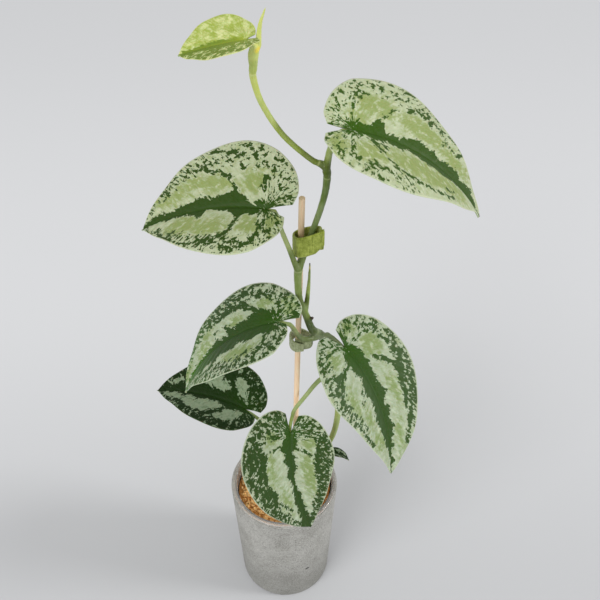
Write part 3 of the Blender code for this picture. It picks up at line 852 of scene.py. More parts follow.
PATTERN_7 = Pattern(
    left_band=((-20, 8), (-8, 10), (0, 14), (6, 16), (15, 16), (18, 5), (24, 10), (28, 7), (35, 12),
               (39, 5), (55, 4), (62, 8), (75, 9), (86, 10), (93, 20), (100, 12)),
    right_band=((-20, 42), (-10, 34), (-4, 16), (5, 13), (10, 20), (15, 24), (19, 13), (27, 16), (33, 8),
                (42, 14), (46, 8), (65, 8), (75, 10), (80, 10), (87, 10), (93, 20), (100, 12)),
    strokes=(
        (3, ((15, 20), (20, 36), (25, 48), (30, 58))), (3, ((-1, 10), (-2, 40), (0, 60))),
        (1.5, ((11, -20), (15, -36), (18, -55))), (4, ((78, 32), (86, 22), (90, 10))),
        (2, ((74, -30), (80, -25))), (3, ((62, -40), (70, -26), (74, -20))),
    ),
    shades=(
        ((5, 62), (20, 56), (35, 50), (50, 50), (60, 48), (68, 38), (76, 26), (86, 28), (78, 46),
         (66, 66), (50, 83), (30, 92), (10, 86), (2, 78)),
        ((0, -60), (16, -58), (20, -48), (30, -52), (42, -54), (48, -46), (54, -38), (68, -42), (76, -36),
         (66, -60), (50, -80), (30, -92), (12, -88)),
        ((-20, -10), (-12, -50), (-6, -62), (-15, -62), (-22, -30)),
    ),
    hearts=((10, 42, 7, 15), (42, 36, 22, 14), (30, -42, 13, 8), (62, -23, 10, 8), (5, -40, 5, 12)),
    jag=0.85, speckle=0.95, speckle_from=0.5, level=0.3, lobes=0.12, cap=0.6, star=0.035, light=0.95,
)
PATTERN_8 = Pattern(
    left_band=((-20, 50), (100, 30)),
    right_band=((-20, 50), (100, 30)),
    speckle=0.6, level=0.3,
)

LEAVES = [
    Leaf("leaf_1", Tone.YOUNG, (-11.1, -3.1, 406.0), 26, 16, 16, 189, -5, 7, 12, -5, 16, -6, -10,
         1.0, 0.92, 0.02, 0.0, PATTERN_1),
    Leaf("leaf_2", Tone.SILVER, (30.3, -10.6, 369.8), 72, 30, 28, 4, -15, 10, 45, -19, 14, -18, -2,
         0.78, 0.86, -0.1, 0.01, PATTERN_2),
    Leaf("leaf_3", Tone.SILVER, (-4.8, -8.9, 326.0), 60, 28, 32, 166, -4, -17, 26, 21, 17, -14, 4,
         0.83, 0.98, 0.01, -0.03, PATTERN_3),
    Leaf("leaf_4", Tone.BANDED, (-2.2, -18.4, 262.7), 64, 27, 28, 182, -14, 4, 58, 12, 13, -14, 1,
         0.5, 1.0, 0.01, -0.1, PATTERN_4),
    Leaf("leaf_5", Tone.BANDED, (32.5, -5.6, 228.3), 66, 27, 27, -37, -31, 5, 29, -38, 15, -17, 3,
         0.79, 0.97, -0.02, 0.01, PATTERN_5),
    Leaf("leaf_6", Tone.DARK, (-22.8, 20.0, 141.6), 54, 25, 26, 160, 16, 3, 30, 12, 20, -13, -3,
         0.78, 0.95, 0.0, -0.05, PATTERN_6),
    Leaf("leaf_7", Tone.BANDED, (4.3, -6.6, 154.7), 58, 25, 29, -93, -42, -18, 28, 36, 13, -20, 1,
         0.96, 1.0, 0.01, 0.0, PATTERN_7),
    Leaf("leaf_8", Tone.DARK, (27.6, 7.6, 113.8), 13, 4, 4, -3, 12, -12, 70, 0, 18, 0, 0,
         0.4, 0.4, 0.0, 0.0, PATTERN_8),
]


def line_distance(points: np.ndarray, line: np.ndarray) -> np.ndarray:
    """Distance of flat points from a line of straight pieces.

    Args:
        points: one row for each point.
        line: one row for each corner of the line.

    Returns:
        One distance for each point.
    """
    best = np.full(len(points), np.inf)
    for a, b in zip(line, line[1:]):
        along = b - a
        share = np.clip((points - a) @ along / max(along @ along, 1e-9), 0, 1)
        best = np.minimum(best, np.linalg.norm(points - (a + share[:, None] * along), axis=1))
    return best


def area_depth(points: np.ndarray, area: np.ndarray) -> np.ndarray:
    """How deep flat points lie inside an area.

    Args:
        points: one row for each point.
        area: one row for each corner of the area.

    Returns:
        One depth for each point, negative outside the area.
    """
    inside = np.zeros(len(points), bool)
    for a, b in zip(area, np.roll(area, -1, axis=0)):
        crosses = (a[1] > points[:, 1]) != (b[1] > points[:, 1])
        with np.errstate(divide="ignore", invalid="ignore"):
            at = a[0] + (points[:, 1] - a[1]) * (b[0] - a[0]) / (b[1] - a[1])
        inside ^= crosses & (points[:, 0] < at)
    depth = line_distance(points, np.concatenate([area, area[:1]]))
    return np.where(inside, depth, -depth)


@dataclass
class Blades:
    """The leaf blades, dressed with their variegation."""

    groups: Groups
    rows: int = 150
    half_columns: int = 42
    outline_step: float = 0.02
    spine_power: float = 1.35  # how the rows crowd at the base of the midrib
    thickness: float = 0.55
    edge_power: int = 10  # how late the blade thins towards its margin
    edge_least: float = 0.02
    tip_half_width: float = 0.25
    inset: float = 0.996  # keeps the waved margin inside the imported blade
    grown_length: float = 50.0  # shorter blades have less relief
    groove_depth: float = 0.5
    groove_width: float = 1.0
    rib_height: float = 0.35
    rib_width: float = 0.8
    wave_height: float = 0.4
    waves: float = 4.0
    wave_phase: float = 2.0  # sets the waves of the two margins apart
    wave_power: int = 4  # how near the margin the waves stay
    quilt_depth: float = 0.12
    quilt_spacing: float = 5.5
    quilt_power: float = 0.7  # how evenly the quilting spreads from midrib to margin
    quilt_end: float = 1 / 1.05  # where it ends, from midrib to margin
    vein_lean: float = 0.75  # how much the side veins sweep forward
    vein_shift: float = 2.5  # moves the veins forward on one half and back on the other
    vein_shift_width: float = 1.5
    fan_radius: float = 15.0  # how the veins of the lobes fan out
    silver_depth: float = 2.2  # how sure the silver is, away from the dark parts
    dark_depth: float = 1.6  # the same for the dark parts
    dark_extra: float = 2.0  # how much surer those are outside the speckled zone
    side_fade: float = 0.15  # how the speckled zone fades in towards the margin, as a share
    end_fade: float = 0.12  # how it fades out towards the tip
    lobe_fade: float = 0.08  # the same for the speckled lobes
    lobe_side: Spot = (0.14, 0.34)  # where those start and are full, from midrib to margin
    star_jag: float = 1.4  # how far the streaks about the base wander
    base_reach: float = 0.17  # reach of the fresh green at the base, as a share of the length
    line_cover: float = 0.5  # strength of the fresh green midrib line
    line_width: float = 0.7  # its half width
    tip_zone: Spot = (0.45, 0.85)  # where a greener tip starts and is full, from base to tip
    noise_shift: float = 17.0  # sets the noises of one blade apart from the next

    def build(self) -> None:
        """Builds every blade."""
        materials = {tone: finish.material(tone.value, self.groups) for tone, finish in FINISHES.items()}
        for leaf in LEAVES:
            settle(self.blade(leaf, materials[leaf.tone]), leaf.name, leaf.tone.value)

    def outline(self) -> np.ndarray:
        """Outline points from the sinus corner to the tip, evenly spread along it."""
        dense = curve_through(OUTLINE, self.outline_step)
        reach = run_length(dense)
        want = np.linspace(0, reach[-1], self.rows + 1)
        return np.stack([np.interp(want, reach, dense[:, 0]), np.interp(want, reach, dense[:, 1])], axis=1)

    def flat(self, leaf: Leaf) -> tuple[np.ndarray, np.ndarray, np.ndarray, np.ndarray]:
        """Flat grid of a blade.

        Args:
            leaf: the blade's sizes.

        Returns:
            Grids of along and across in millimetres, of the share along the outline, and
            of the signed share from midrib to margin.
        """
        edge = self.outline()[:, None, :]
        share = np.linspace(-1, 1, 2 * self.half_columns + 1)[None, :]
        u = np.linspace(0, 1, self.rows + 1)[:, None] + 0 * share
        share = share + 0 * u
        left = share > 0
        width = np.where(left, leaf.left, leaf.right)
        lobe = np.where(left, leaf.left_lobe, leaf.right_lobe)
        gap = np.where(left, leaf.left_gap, leaf.right_gap)
        back, side = edge[..., 0] + 0 * u, edge[..., 1] + 0 * u
        behind = ramp(back, 0.0, OUTLINE[0][0])
        along = back * np.where(back < 0, lobe, 1.0) * leaf.length
        across = np.maximum((side + gap * behind) * width, self.tip_half_width)
        spine = leaf.length * u ** self.spine_power
        out = self.inset * np.abs(share)
        return spine + (along - spine) * out, np.sign(share) * across * out, u, share

    def vein_lines(self, along: np.ndarray, across: np.ndarray) -> tuple[np.ndarray, np.ndarray]:
        """Coordinates that follow the side veins, which sweep forward and fan out in the lobes.

        Args:
            along: flat millimetres from the base.
            across: flat millimetres from the midrib.

        Returns:
            A value that is constant along each side vein, and the way along it.
        """
        out = np.abs(across)
        ahead = along - self.vein_lean * out
        past = np.arctan2(out, along) - math.atan2(1, self.vein_lean)
        line = np.where(ahead > 0, ahead, -self.fan_radius * past)
        way = np.where(ahead > 0, math.hypot(1, self.vein_lean) * out, np.hypot(along, out))
        return line + self.vein_shift * np.tanh(across / self.vein_shift_width), way

    @staticmethod
    def bent(leaf: Leaf, along: np.ndarray, across: np.ndarray) -> np.ndarray:
        """Arches, sweeps, folds, cups and twists a flat blade.

        Args:
            leaf: the blade's sizes.
            along: flat millimetres from the base.
            across: flat millimetres from the midrib.

        Returns:
            Places of the flat points, in millimetres from the base.
        """
        share = along / leaf.length
        arch = math.radians(leaf.bend) / leaf.length
        down = arch * along
        reach = np.sin(down) / arch
        drop = (np.cos(down) - 1) / arch
        turn = math.radians(leaf.sweep) * share
        drift = turn * along / 2
        fold = math.radians(leaf.fold)
        curl = math.radians(leaf.cup or 0.1) / ((leaf.left + leaf.right) / 2)
        out = np.abs(across)
        side = np.sign(across) * (np.sin(fold + curl * out) - math.sin(fold)) / curl
        rise = (math.cos(fold) - np.cos(fold + curl * out)) / curl
        lean = math.radians(leaf.twist) * share
        wide = side * np.cos(lean) - rise * np.sin(lean)
        high = side * np.sin(lean) + rise * np.cos(lean)
        return np.stack([
            reach - wide * np.sin(turn) * np.cos(down) + high * np.sin(down),
            drift + wide * np.cos(turn),
            drop + wide * np.sin(turn) * np.sin(down) + high * np.cos(down),
        ], axis=-1)

    def blade(self, leaf: Leaf, finish: Material) -> Thing:
        """Builds one blade with its groove, quilting and attributes.

        Args:
            leaf: the blade's sizes and pattern.
            finish: its material.

        Returns:
            The blade's object.
        """
        along, across, u, share = self.flat(leaf)
        turn = np.array(
            Matrix.Rotation(math.radians(leaf.azimuth), 3, "Z")
            @ Matrix.Rotation(-math.radians(leaf.pitch), 3, "Y")
            @ Matrix.Rotation(math.radians(leaf.roll), 3, "X")
        )
        middle = self.bent(leaf, along, across) @ turn.T + np.array(leaf.base)
        normal = np.cross(np.gradient(middle, axis=0), np.gradient(middle, axis=1))
        normal /= np.maximum(np.linalg.norm(normal, axis=-1, keepdims=True), 1e-9)
        if (normal @ (turn @ np.array([0, 0, 1.0]))).sum() < 0:
            normal = -normal
        out = np.abs(share)
        grown = min(1.0, leaf.length / self.grown_length)
        fade = ramp(along / leaf.length, 1.1, 0.1)
        groove = bell(across, self.groove_width) * fade
        phase = math.tau * self.vein_lines(along, across)[0] / self.quilt_spacing
        quilt = np.cos(phase) * np.sin(math.pi * ramp(out, 0, self.quilt_end)) ** self.quilt_power
        wave = np.sin(math.tau * u * self.waves + self.wave_phase * np.sign(share)) * self.wave_height
        wave = wave * out ** self.wave_power
        relief = grown * (quilt * self.quilt_depth + wave - groove * self.groove_depth)
        rib = grown * bell(across, self.rib_width) * self.rib_height * fade
        half = self.thickness / 2 * np.sqrt(np.clip(1 - out ** self.edge_power, self.edge_least, 1))
        top = middle + normal * (relief + half)[..., None]
        bottom = middle + normal * (relief - half - rib)[..., None]
        thing = mesh_object("satin_" + leaf.name, *closed_sheet(top, bottom), finish)
        self.dress(thing, leaf, np.stack([along.ravel(), across.ravel()], axis=1), out.ravel())
        return thing

    def dress(self, thing: Thing, leaf: Leaf, flat: np.ndarray, side: np.ndarray) -> None:
        """Stores what the material reads: where the blade is dark, green, rough and pale.

        Args:
            thing: the blade's object.
            leaf: its sizes and pattern.
            flat: flat points, in millimetres along and across from the base.
            side: how far each of them lies from midrib to margin, from 0 to 1.
        """
        pattern = leaf.pattern
        part, near = flat[:, 0] / leaf.length, np.linalg.norm(flat, axis=1)
        zone = self.speckled(leaf, flat, side)
        dark = self.darkness(leaf, flat)
        jag = pattern.jag + (pattern.speckle - pattern.jag) * zone
        if pattern.star:
            star = pattern.star * leaf.length
            dark = np.maximum(dark, star - near)
            jag = jag + self.star_jag * bell(near, 1.3 * star)
        dark = np.clip(dark, -self.silver_depth, self.dark_depth + pattern.jag)
        dark = np.minimum(dark, pattern.cap + (1 - zone) * self.dark_extra)
        dark = np.maximum(dark, -self.silver_depth + zone * (self.silver_depth + pattern.level))
        tip = pattern.tip_green * ramp(part, *self.tip_zone)
        line = self.line_cover * bell(flat[:, 1], self.line_width) * ramp(part, 1.2, 0.2)
        base = np.exp(-near / (self.base_reach * leaf.length))
        base = np.maximum(np.maximum(base, np.minimum(1, 1.4 * tip)), line)
        shift = np.full(len(flat), self.noise_shift * int(leaf.name[-1]))
        values = {
            "dark": dark, "jag": jag, "heart": self.green_hearts(leaf, flat), "rim": side, "base": base,
            "shade": pattern.shade + tip, "light": np.full(len(flat), pattern.light),
            "vein": np.column_stack([*self.vein_lines(flat[:, 0], flat[:, 1]), shift]),
            "flat": np.column_stack([flat, shift]),
        }
        for name, row in values.items():
            write_attribute(thing, name, np.concatenate([row, row]))
        write_attribute(thing, "upper", np.repeat([1.0, 0.0], len(flat)))

    @staticmethod
    def darkness(leaf: Leaf, flat: np.ndarray) -> np.ndarray:
        """How deep flat points lie in the drawn dark parts.

        Args:
            leaf: the blade's sizes and pattern.
            flat: the points.

        Returns:
            One depth in millimetres for each point, negative in the silver.
        """
        pattern = leaf.pattern
        bands = ((pattern.left_band, leaf.left), (pattern.right_band, leaf.right))
        left, right = (
            np.interp(flat[:, 0] / leaf.length, *(np.array(band) / 100).T) * half for band, half in bands
        )
        dark = np.where(flat[:, 1] > 0, left, right) - np.abs(flat[:, 1])
        for area in pattern.shades:
            dark = np.maximum(dark, area_depth(flat, leaf.spread(area)))
        for area in pattern.patches:
            dark = np.minimum(dark, -area_depth(flat, leaf.spread(area)))
        for width, line in pattern.strokes:
            half = width / 100 * (leaf.left + leaf.right) / 2
            dark = np.maximum(dark, half - line_distance(flat, leaf.spread(line)))
        return dark

    @staticmethod
    def green_hearts(leaf: Leaf, flat: np.ndarray) -> np.ndarray:
        """How deep flat points lie in the green hearts of the silver.

        Args:
            leaf: the blade's sizes and pattern.
            flat: the points.

        Returns:
            One depth in millimetres for each point, negative outside the hearts.
        """
        heart = np.full(len(flat), -9.0)
        for along, across, long, wide in leaf.pattern.hearts:
            centre = leaf.spread(((along, across),))[0]
            span = np.array([long / 100 * leaf.length, wide / 100 * leaf.left])
            heart = np.maximum(heart, (1 - np.linalg.norm((flat - centre) / span, axis=1)) * span.min())
        return np.minimum(heart, leaf.pattern.heart_depth)

    def speckled(self, leaf: Leaf, flat: np.ndarray, side: np.ndarray) -> np.ndarray:
        """How far flat points belong to the speckled zone along the margin and on the lobes.

        Args:
            leaf: the blade's sizes and pattern.
            flat: the points.
            side: how far each of them lies from midrib to margin.

        Returns:
            One share from 0 to 1 for each point.
        """
        pattern = leaf.pattern
        part = flat[:, 0] / leaf.length
        end = np.where(flat[:, 1] > 0, pattern.left_end, pattern.right_end)
        start = pattern.speckle_from
        zone = ramp(side, start, start + self.side_fade) * ramp(part, end, end - self.end_fade)
        lobe = ramp(side, *self.lobe_side) * ramp(part, pattern.lobes, pattern.lobes - self.lobe_fade)
        return np.maximum(zone, lobe)


# Stem


@dataclass(frozen=True)
class Tint:
    """Colour of the stem about a place, with its reach in millimetres."""

    place: Place
    reach: float
    colour: Colour


@dataclass(frozen=True)
class Ring:
    """A pale scar line round the stem, across a direction, with a fine groove."""

    place: Place
    way: Place
    width: float
    colour: Colour


# the stem's greens about places; the pale tint at 140 mm high is painted light where the leaves above shade
# the stem
PART_TINTS = [
    Tint((14.0, 10.0, 90.0), 10, (130, 144, 76)), Tint((30.5, 10.0, 140.0), 20, (156, 172, 102)),
    Tint((26.6, 7.4, 200.0), 14, (130, 146, 88)), Tint((20.0, 4.2, 226.0), 6, (140, 152, 116)),
    Tint((14.2, 1.7, 237.0), 7, (72, 88, 40)), Tint((12.2, 0.1, 250.0), 4, (124, 142, 76)),
    Tint((9.3, -1.5, 260.0), 6, (92, 110, 46)), Tint((8.7, -2.0, 273.0), 6, (124, 142, 78)),
    Tint((12.0, -1.0, 292.0), 8, (106, 122, 66)), Tint((17.5, 1.0, 312.0), 8, (120, 138, 84)),
    Tint((20.3, 0.9, 329.0), 7, (86, 106, 42)), Tint((20.8, 0.4, 341.0), 5, (80, 96, 28)),
    Tint((22.0, -2.0, 352.0), 5, (144, 160, 92)), Tint((24.0, -6.0, 362.0), 5, (156, 170, 112)),
    Tint((14.0, 0.0, 347.0), 5, (118, 132, 62)), Tint((4.0, 0.0, 357.0), 8, (148, 164, 78)),
    Tint((-4.0, 0.0, 371.0), 8, (178, 190, 108)), Tint((-8.0, 0.0, 384.0), 6, (190, 200, 108)),
    Tint((-9.0, 0.0, 392.0), 4, (168, 182, 92)), Tint((-8.0, -0.7, 399.0), 3, (196, 206, 112)),
    Tint((-4.6, 0.4, 408.0), 8, (208, 216, 124)), Tint((6.6, -5.0, 290.0), 5, (106, 122, 58)),
    Tint((2.0, -7.6, 307.0), 7, (174, 188, 122)), Tint((11.0, -2.0, 231.0), 5, (112, 126, 74)),
    Tint((6.0, -13.0, 252.0), 8, (134, 148, 84)), Tint((25.0, 7.0, 190.5), 6, (124, 142, 82)),
    Tint((10.0, -1.2, 177.0), 7, (156, 172, 110)), Tint((5.4, -3.0, 160.0), 6, (132, 150, 74)),
    Tint((-4.0, 18.0, 118.0), 12, (96, 114, 52)), Tint((13.5, 1.5, 264.0), 4, (140, 158, 76)),
]
SPOT_TINTS = [
    Tint((16.0, -0.6, 245.6), 1.7, (62, 44, 34)), Tint((14.3, 2.0, 281.5), 1.1, (58, 38, 26)),
    Tint((14.1, 1.9, 278.6), 1.2, (188, 176, 112)), Tint((-6.3, -1.6, 400.5), 1.5, (230, 212, 64)),
    Tint((22.0, 0.4, 341.5), 1.2, (54, 62, 26)), Tint((13.8, 1.0, 249.5), 1.6, (168, 178, 122)),
]
RINGS = [
    Ring((8.9, -1.9, 281.0), (0.1, 0.1, 1.0), 0.4, (172, 184, 136)),
    Ring((17.4, 3.0, 230.6), (-0.7, -0.2, 0.7), 0.35, (150, 160, 122)),
    Ring((24.4, 6.3, 211.0), (-0.35, -0.2, 1.0), 0.4, (156, 166, 124)),
    Ring((20.9, 0.7, 335.5), (0.1, 0.0, 1.0), 0.35, (140, 152, 96)),
    Ring((17.2, 0.2, 343.6), (-0.9, 0.0, 0.5), 0.35, (160, 168, 104)),
    Ring((-9.0, 0.0, 388.8), (0.0, 0.0, 1.0), 0.35, (206, 212, 140)),
    Ring((30.6, 9.5, 164.0), (0.0, 0.0, 1.0), 0.4, (150, 160, 112)),
]


@dataclass
class Vine:
    """Stem, petioles, sheaths and rolled new leaf, smoothed into one skin."""

    groups: Groups
    weld: float = 0.01
    voxel: float = 0.4
    smoothing: int = 6
    softness: float = 0.5
    fullness: float = 0.08  # swelling that makes good what the smoothing takes
    tint_floor: float = 0.05  # keeps a tint from standing out at its own place
    tint_power: int = 4  # how suddenly a tint ends
    groove: float = 0.12  # depth of the scar lines
    groove_offset: float = 0.6  # how far it lies past the pale line
    groove_width: float = 0.45
    ring_reach: float = 4.0
    ring_cover: float = 0.75
    ridge: float = 0.05  # height of the long ribs of the stem
    ridge_scale: Place = (1.3, 1.3, 0.12)
    roll_foot: float = 401.0  # height where the rolled new leaf leaves its sheath
    roll_top: float = 417.0
    roll_left: float = -7.8  # everything further left is the youngest blade's petiole
    roll_bow: float = 1.2  # how far it bows towards the youngest blade
    sheath_axis: float = -7.3
    sheath_waist: Spot = (392.0, 0.78)  # height and share of the width where the sheath is slim
    sheath_mouth: Spot = (399.3, 1.12)  # the same where it is wide
    sheath_reach: float = 3.0

    def material(self) -> Material:
        """Makes the green told by the stem's tints, with long streaks and faint freckles; the tints hold
        its own greens and some painted light.

        Returns:
            The material.
        """
        made, tree, shader = Finish("stem", srgb(110, 130, 75), 0.42, 0.45, subsurface=0.05).start()
        place = tree.place()
        streaks = self.groups.streaks(tree, 1800.0)
        patches = tree.noise(place, 260.0)
        uneven = tree.plus(tree.swing(streaks, 0.13), tree.swing(patches, 0.13))
        colour = tree.brighter(tree.read("tint", "Color"), uneven)
        dots, pick = tree.spots(place, 900.0, 0.1, 0.24)
        freckles = tree.product(dots, tree.step(pick, 0.8, 0.86), 0.35)
        tree.put(shader.inputs["Base Color"], tree.mix(freckles, colour, srgb(190, 200, 150)))
        tree.relief(shader, streaks, 0.0001, 0.5)
        return made

    def build(self, frame: dict) -> None:
        """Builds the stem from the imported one, with rounder joints.

        Args:
            frame: the loaded frame.
        """
        thing = self.skin(frame["nodes"]["vine"])
        shape = bmesh.new()
        shape.from_mesh(thing.data)
        shape.normal_update()
        places = np.array([vert.co for vert in shape.verts]) / MM
        colours, grooves = self.tinted(places)
        for vert, groove in zip(shape.verts, grooves):
            at = vert.co / MM
            if at.z > self.sheath_waist[0] - 3 * self.sheath_reach:
                width = self.sheath_width(at.z)
                vert.co.x = (self.sheath_axis + (at.x - self.sheath_axis) * width) * MM
                vert.co.y *= width
            rib = noise.noise(at * Vector(self.ridge_scale)) * self.ridge
            vert.co += vert.normal * (self.fullness + rib - groove * self.groove) * MM
            if at.z > self.roll_foot and at.x > self.roll_left:
                rise = min(1.0, (at.z - self.roll_foot) / (self.roll_top - self.roll_foot))
                vert.co.x -= self.roll_bow * math.sin(math.pi * rise) * MM
        shape.to_mesh(thing.data)
        shape.free()
        tint = thing.data.attributes.new("tint", "FLOAT_COLOR", "POINT")
        opaque = np.column_stack([colours, np.ones(len(colours))])
        tint.data.foreach_set("color", opaque.astype(np.float32).ravel())
        thing.data.materials.clear()
        thing.data.materials.append(self.material())
        thing.data.shade_smooth()
        settle(thing, "vine", "stem")

    def skin(self, source: Thing) -> Thing:
        """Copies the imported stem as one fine, smoothed skin.

        Args:
            source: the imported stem.

        Returns:
            The copy, linked to the scene.
        """
        thing = bpy.data.objects.new("pothos_stem", source.data.copy())
        bpy.context.scene.collection.objects.link(thing)
        thing.matrix_world = source.matrix_world
        thing.data.materials.clear()
        weld = thing.modifiers.new("Weld", "WELD")
        weld.merge_threshold = self.weld * MM
        remesh = thing.modifiers.new("Remesh", "REMESH")
        remesh.mode = "VOXEL"
        remesh.voxel_size = self.voxel * MM
        soften = thing.modifiers.new("Soften", "SMOOTH")
        soften.iterations = self.smoothing
        soften.factor = self.softness
        graph = bpy.context.evaluated_depsgraph_get()
        mesh = bpy.data.meshes.new_from_object(thing.evaluated_get(graph))
        thing.modifiers.clear()
        thing.data = mesh
        return thing

    def sheath_width(self, height: float) -> float:
        """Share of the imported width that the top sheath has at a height."""
        share = 1.0
        for middle, width in (self.sheath_waist, self.sheath_mouth):
            share += (width - 1.0) * bell(height - middle, self.sheath_reach)
        return share

    def tinted(self, places: np.ndarray) -> tuple[np.ndarray, np.ndarray]:
        """Colour and groove of each place on the stem.

        Args:
            places: places in millimetres.

        Returns:
            Linear colours, and how deep in a scar line each place lies, from 0 to 1.
        """
        total = np.zeros((len(places), 3))
        weight = np.zeros((len(places), 1))
        for tint in PART_TINTS:
            far = np.linalg.norm(places - np.array(tint.place), axis=1, keepdims=True) / tint.reach
            near = 1 / (self.tint_floor + far ** self.tint_power)
            total += near * np.array(srgb(*tint.colour))
            weight += near
        colours = total / weight
        grooves = np.zeros(len(places))
        for ring in RINGS:
            way = np.array(ring.way) / np.linalg.norm(ring.way)
            off = places - np.array(ring.place)
            along = off @ way
            close = np.linalg.norm(off, axis=1) < self.ring_reach
            pale = self.ring_cover * close * bell(along, ring.width)
            colours += (np.array(srgb(*ring.colour)) - colours) * pale[:, None]
            grooves = np.maximum(grooves, close * bell(along - self.groove_offset, self.groove_width))
        for tint in SPOT_TINTS:
            far = np.linalg.norm(places - np.array(tint.place), axis=1) / tint.reach
            colours += (np.array(srgb(*tint.colour)) - colours) * np.exp(-far ** self.tint_power)[:, None]
        return colours, grooves


# Stake and ties


@dataclass
class Stake:
    """Thin round wooden stake."""

    groups: Groups
    foot: Place = (4.5, 2.5, 15.0)
    top: Place = (10.5, 2.5, 322.0)
    radius: float = 1.45
    chamfer: float = 0.25
    sides: int = 40
    pieces: int = 40

    def build(self) -> None:
        """Builds the stake with its chamfered ends."""
        made, tree, shader = Finish("pale_wood", srgb(238, 204, 166), 0.6, 0.3).start()
        grain = self.groups.streaks(tree, 2600.0)
        broad = self.groups.streaks(tree, 700.0)
        colour = tree.layer(srgb(255, 230, 196), grain, 0.35, 0.7, (255, 214, 176))
        colour = tree.layer(colour, broad, 0.5, 0.75, (238, 190, 148), cover=0.5)
        tree.put(shader.inputs["Base Color"], colour)
        tree.relief(shader, grain, 0.00015, 0.6)
        foot, top = Vector(self.foot), Vector(self.top)
        length = (top - foot).length
        turn = (top - foot).normalized().to_track_quat("Z", "Y").to_matrix()
        inner = self.radius - self.chamfer
        heights = [length * i / self.pieces for i in range(self.pieces - 1, 0, -1)]
        profile = [(0.0, length), (inner, length), (self.radius, length - self.chamfer)]
        profile += [(self.radius, height) for height in heights]
        profile += [(self.radius, self.chamfer), (inner, 0.0), (0.0, 0.0)]
        points, faces = turned(profile, self.sides)
        points = [tuple(foot + turn @ Vector(point)) for point in points]
        settle(mesh_object("wooden_stake", points, faces, made, crease=30), "stake", "pale_wood")


@dataclass(frozen=True)
class Tape:
    """One hook-and-loop tie, told as in the solids."""

    node: str
    slot: str
    path: tuple[Spot, ...]
    edges: tuple[Place, ...]  # height, rise towards +X and rise towards +Y
    cut: float  # how much lower the upper corner of the free end is
    light: Colour
    dark: Colour


TAPES = [
    Tape("tie_upper", "olive_tape",
         ((20.4, -1.9), (18.8, -1.3), (18.8, 2.2), (15.0, 4.8), (9.8, 5.4), (7.0, 3.8), (6.9, 0.6),
          (8.4, -3.1), (12.0, -4.5), (16.2, -4.2), (20.6, -3.6)),
         ((291.6, 0.38, -0.35), (304.2, 0.38, -0.35)), 3.5, (178, 190, 90), (124, 138, 44)),
    Tape("tie_lower", "grey_green_tape",
         ((7.0, 0.3), (8.7, 0.2), (12.0, 0.0), (14.8, 1.2), (15.6, 4.0), (13.8, 7.0), (10.0, 8.4),
          (6.8, 7.6), (4.8, 4.2), (5.1, 0.6), (6.9, -1.5), (9.2, -2.2), (11.5, -2.4)),
         ((220.4, 0.0, 0.0), (226.5, -0.3, 0.0)), 1.5, (196, 204, 164), (138, 148, 106)),
]


@dataclass
class Ties:
    """The two loops of fuzzy tape round stake and stem."""

    middle: Spot = (11.6, -3.6)
    thickness: float = 1.1
    step: float = 0.3
    columns: int = 34
    rib: float = 0.07
    rib_spacing: float = 0.75
    fuzz: float = 0.09
    fuzz_scale: float = 2.2
    cut_reach: float = 4.0  # length of the slanted cut at the free end
    edge_slope: float = 14.0  # how soon the tape has its full thickness from its edge
    edge_least: float = 0.25

    @staticmethod
    def material(tape: Tape) -> Material:
        """Makes the fuzzy woven tape.

        Args:
            tape: the tie.

        Returns:
            The material.
        """
        made, tree, shader = Finish(tape.slot, srgb(*tape.light), 0.95, 0.1, sheen=0.25).start()
        place = tree.place()
        fuzz = tree.noise(place, 2400.0, rough=0.7)
        broad = tree.noise(place, 500.0)
        ribs = tree.noise(place, 1500.0, detail=2.0, stretch=(1.0, 1.0, 0.15))
        colour = tree.layer(srgb(*tape.dark), tree.plus(fuzz, broad, ribs), 1.15, 1.85, tape.light)
        tree.put(shader.inputs["Base Color"], colour)
        tree.relief(shader, fuzz, 0.0003, 0.8)
        return made

    def build(self) -> None:
        """Builds both ties."""
        for tape in TAPES:
            thing = mesh_object("tape_" + tape.node, *self.strip(tape), self.material(tape))
            settle(thing, tape.node, tape.slot)

    def strip(self, tape: Tape) -> tuple[np.ndarray, list]:
        """Closed skin of a tie, ribbed and fuzzy on both sides.

        Args:
            tape: the tie.

        Returns:
            The points and the faces.
        """
        path = curve_through(list(tape.path), self.step)
        tangent = np.gradient(path, axis=0)
        tangent /= np.linalg.norm(tangent, axis=1, keepdims=True)
        side = np.stack([tangent[:, 1], -tangent[:, 0]], axis=1)
        reach = run_length(path)
        up = np.linspace(0, 1, self.columns)[None, :]
        off_x, off_y = (path - np.array(self.middle)).T
        low, high = ((z + rise_x * off_x + rise_y * off_y)[:, None] for z, rise_x, rise_y in tape.edges)
        low = low + tape.cut * ramp(reach, reach[-1] - self.cut_reach, reach[-1])[:, None]
        height = low + (high - low) * up
        edge = np.minimum(1.0, np.minimum(up, 1 - up) * self.edge_slope + self.edge_least)
        relief = self.rib * np.cos(math.tau * reach / self.rib_spacing)[:, None]
        skins = []
        for way in (1, -1):
            bumps = np.array([
                [noise.noise(Vector((at * self.fuzz_scale, z * self.fuzz_scale, way * 9.0))) for z in row]
                for at, row in zip(reach, height)
            ])
            off = way * (self.thickness / 2 * edge + relief + self.fuzz * bumps)
            flat = path[:, None, :] + side[:, None, :] * off[..., None]
            skins.append(np.concatenate([flat, height[..., None]], axis=2))
        return closed_sheet(*skins)


# Pot, liner and substrate


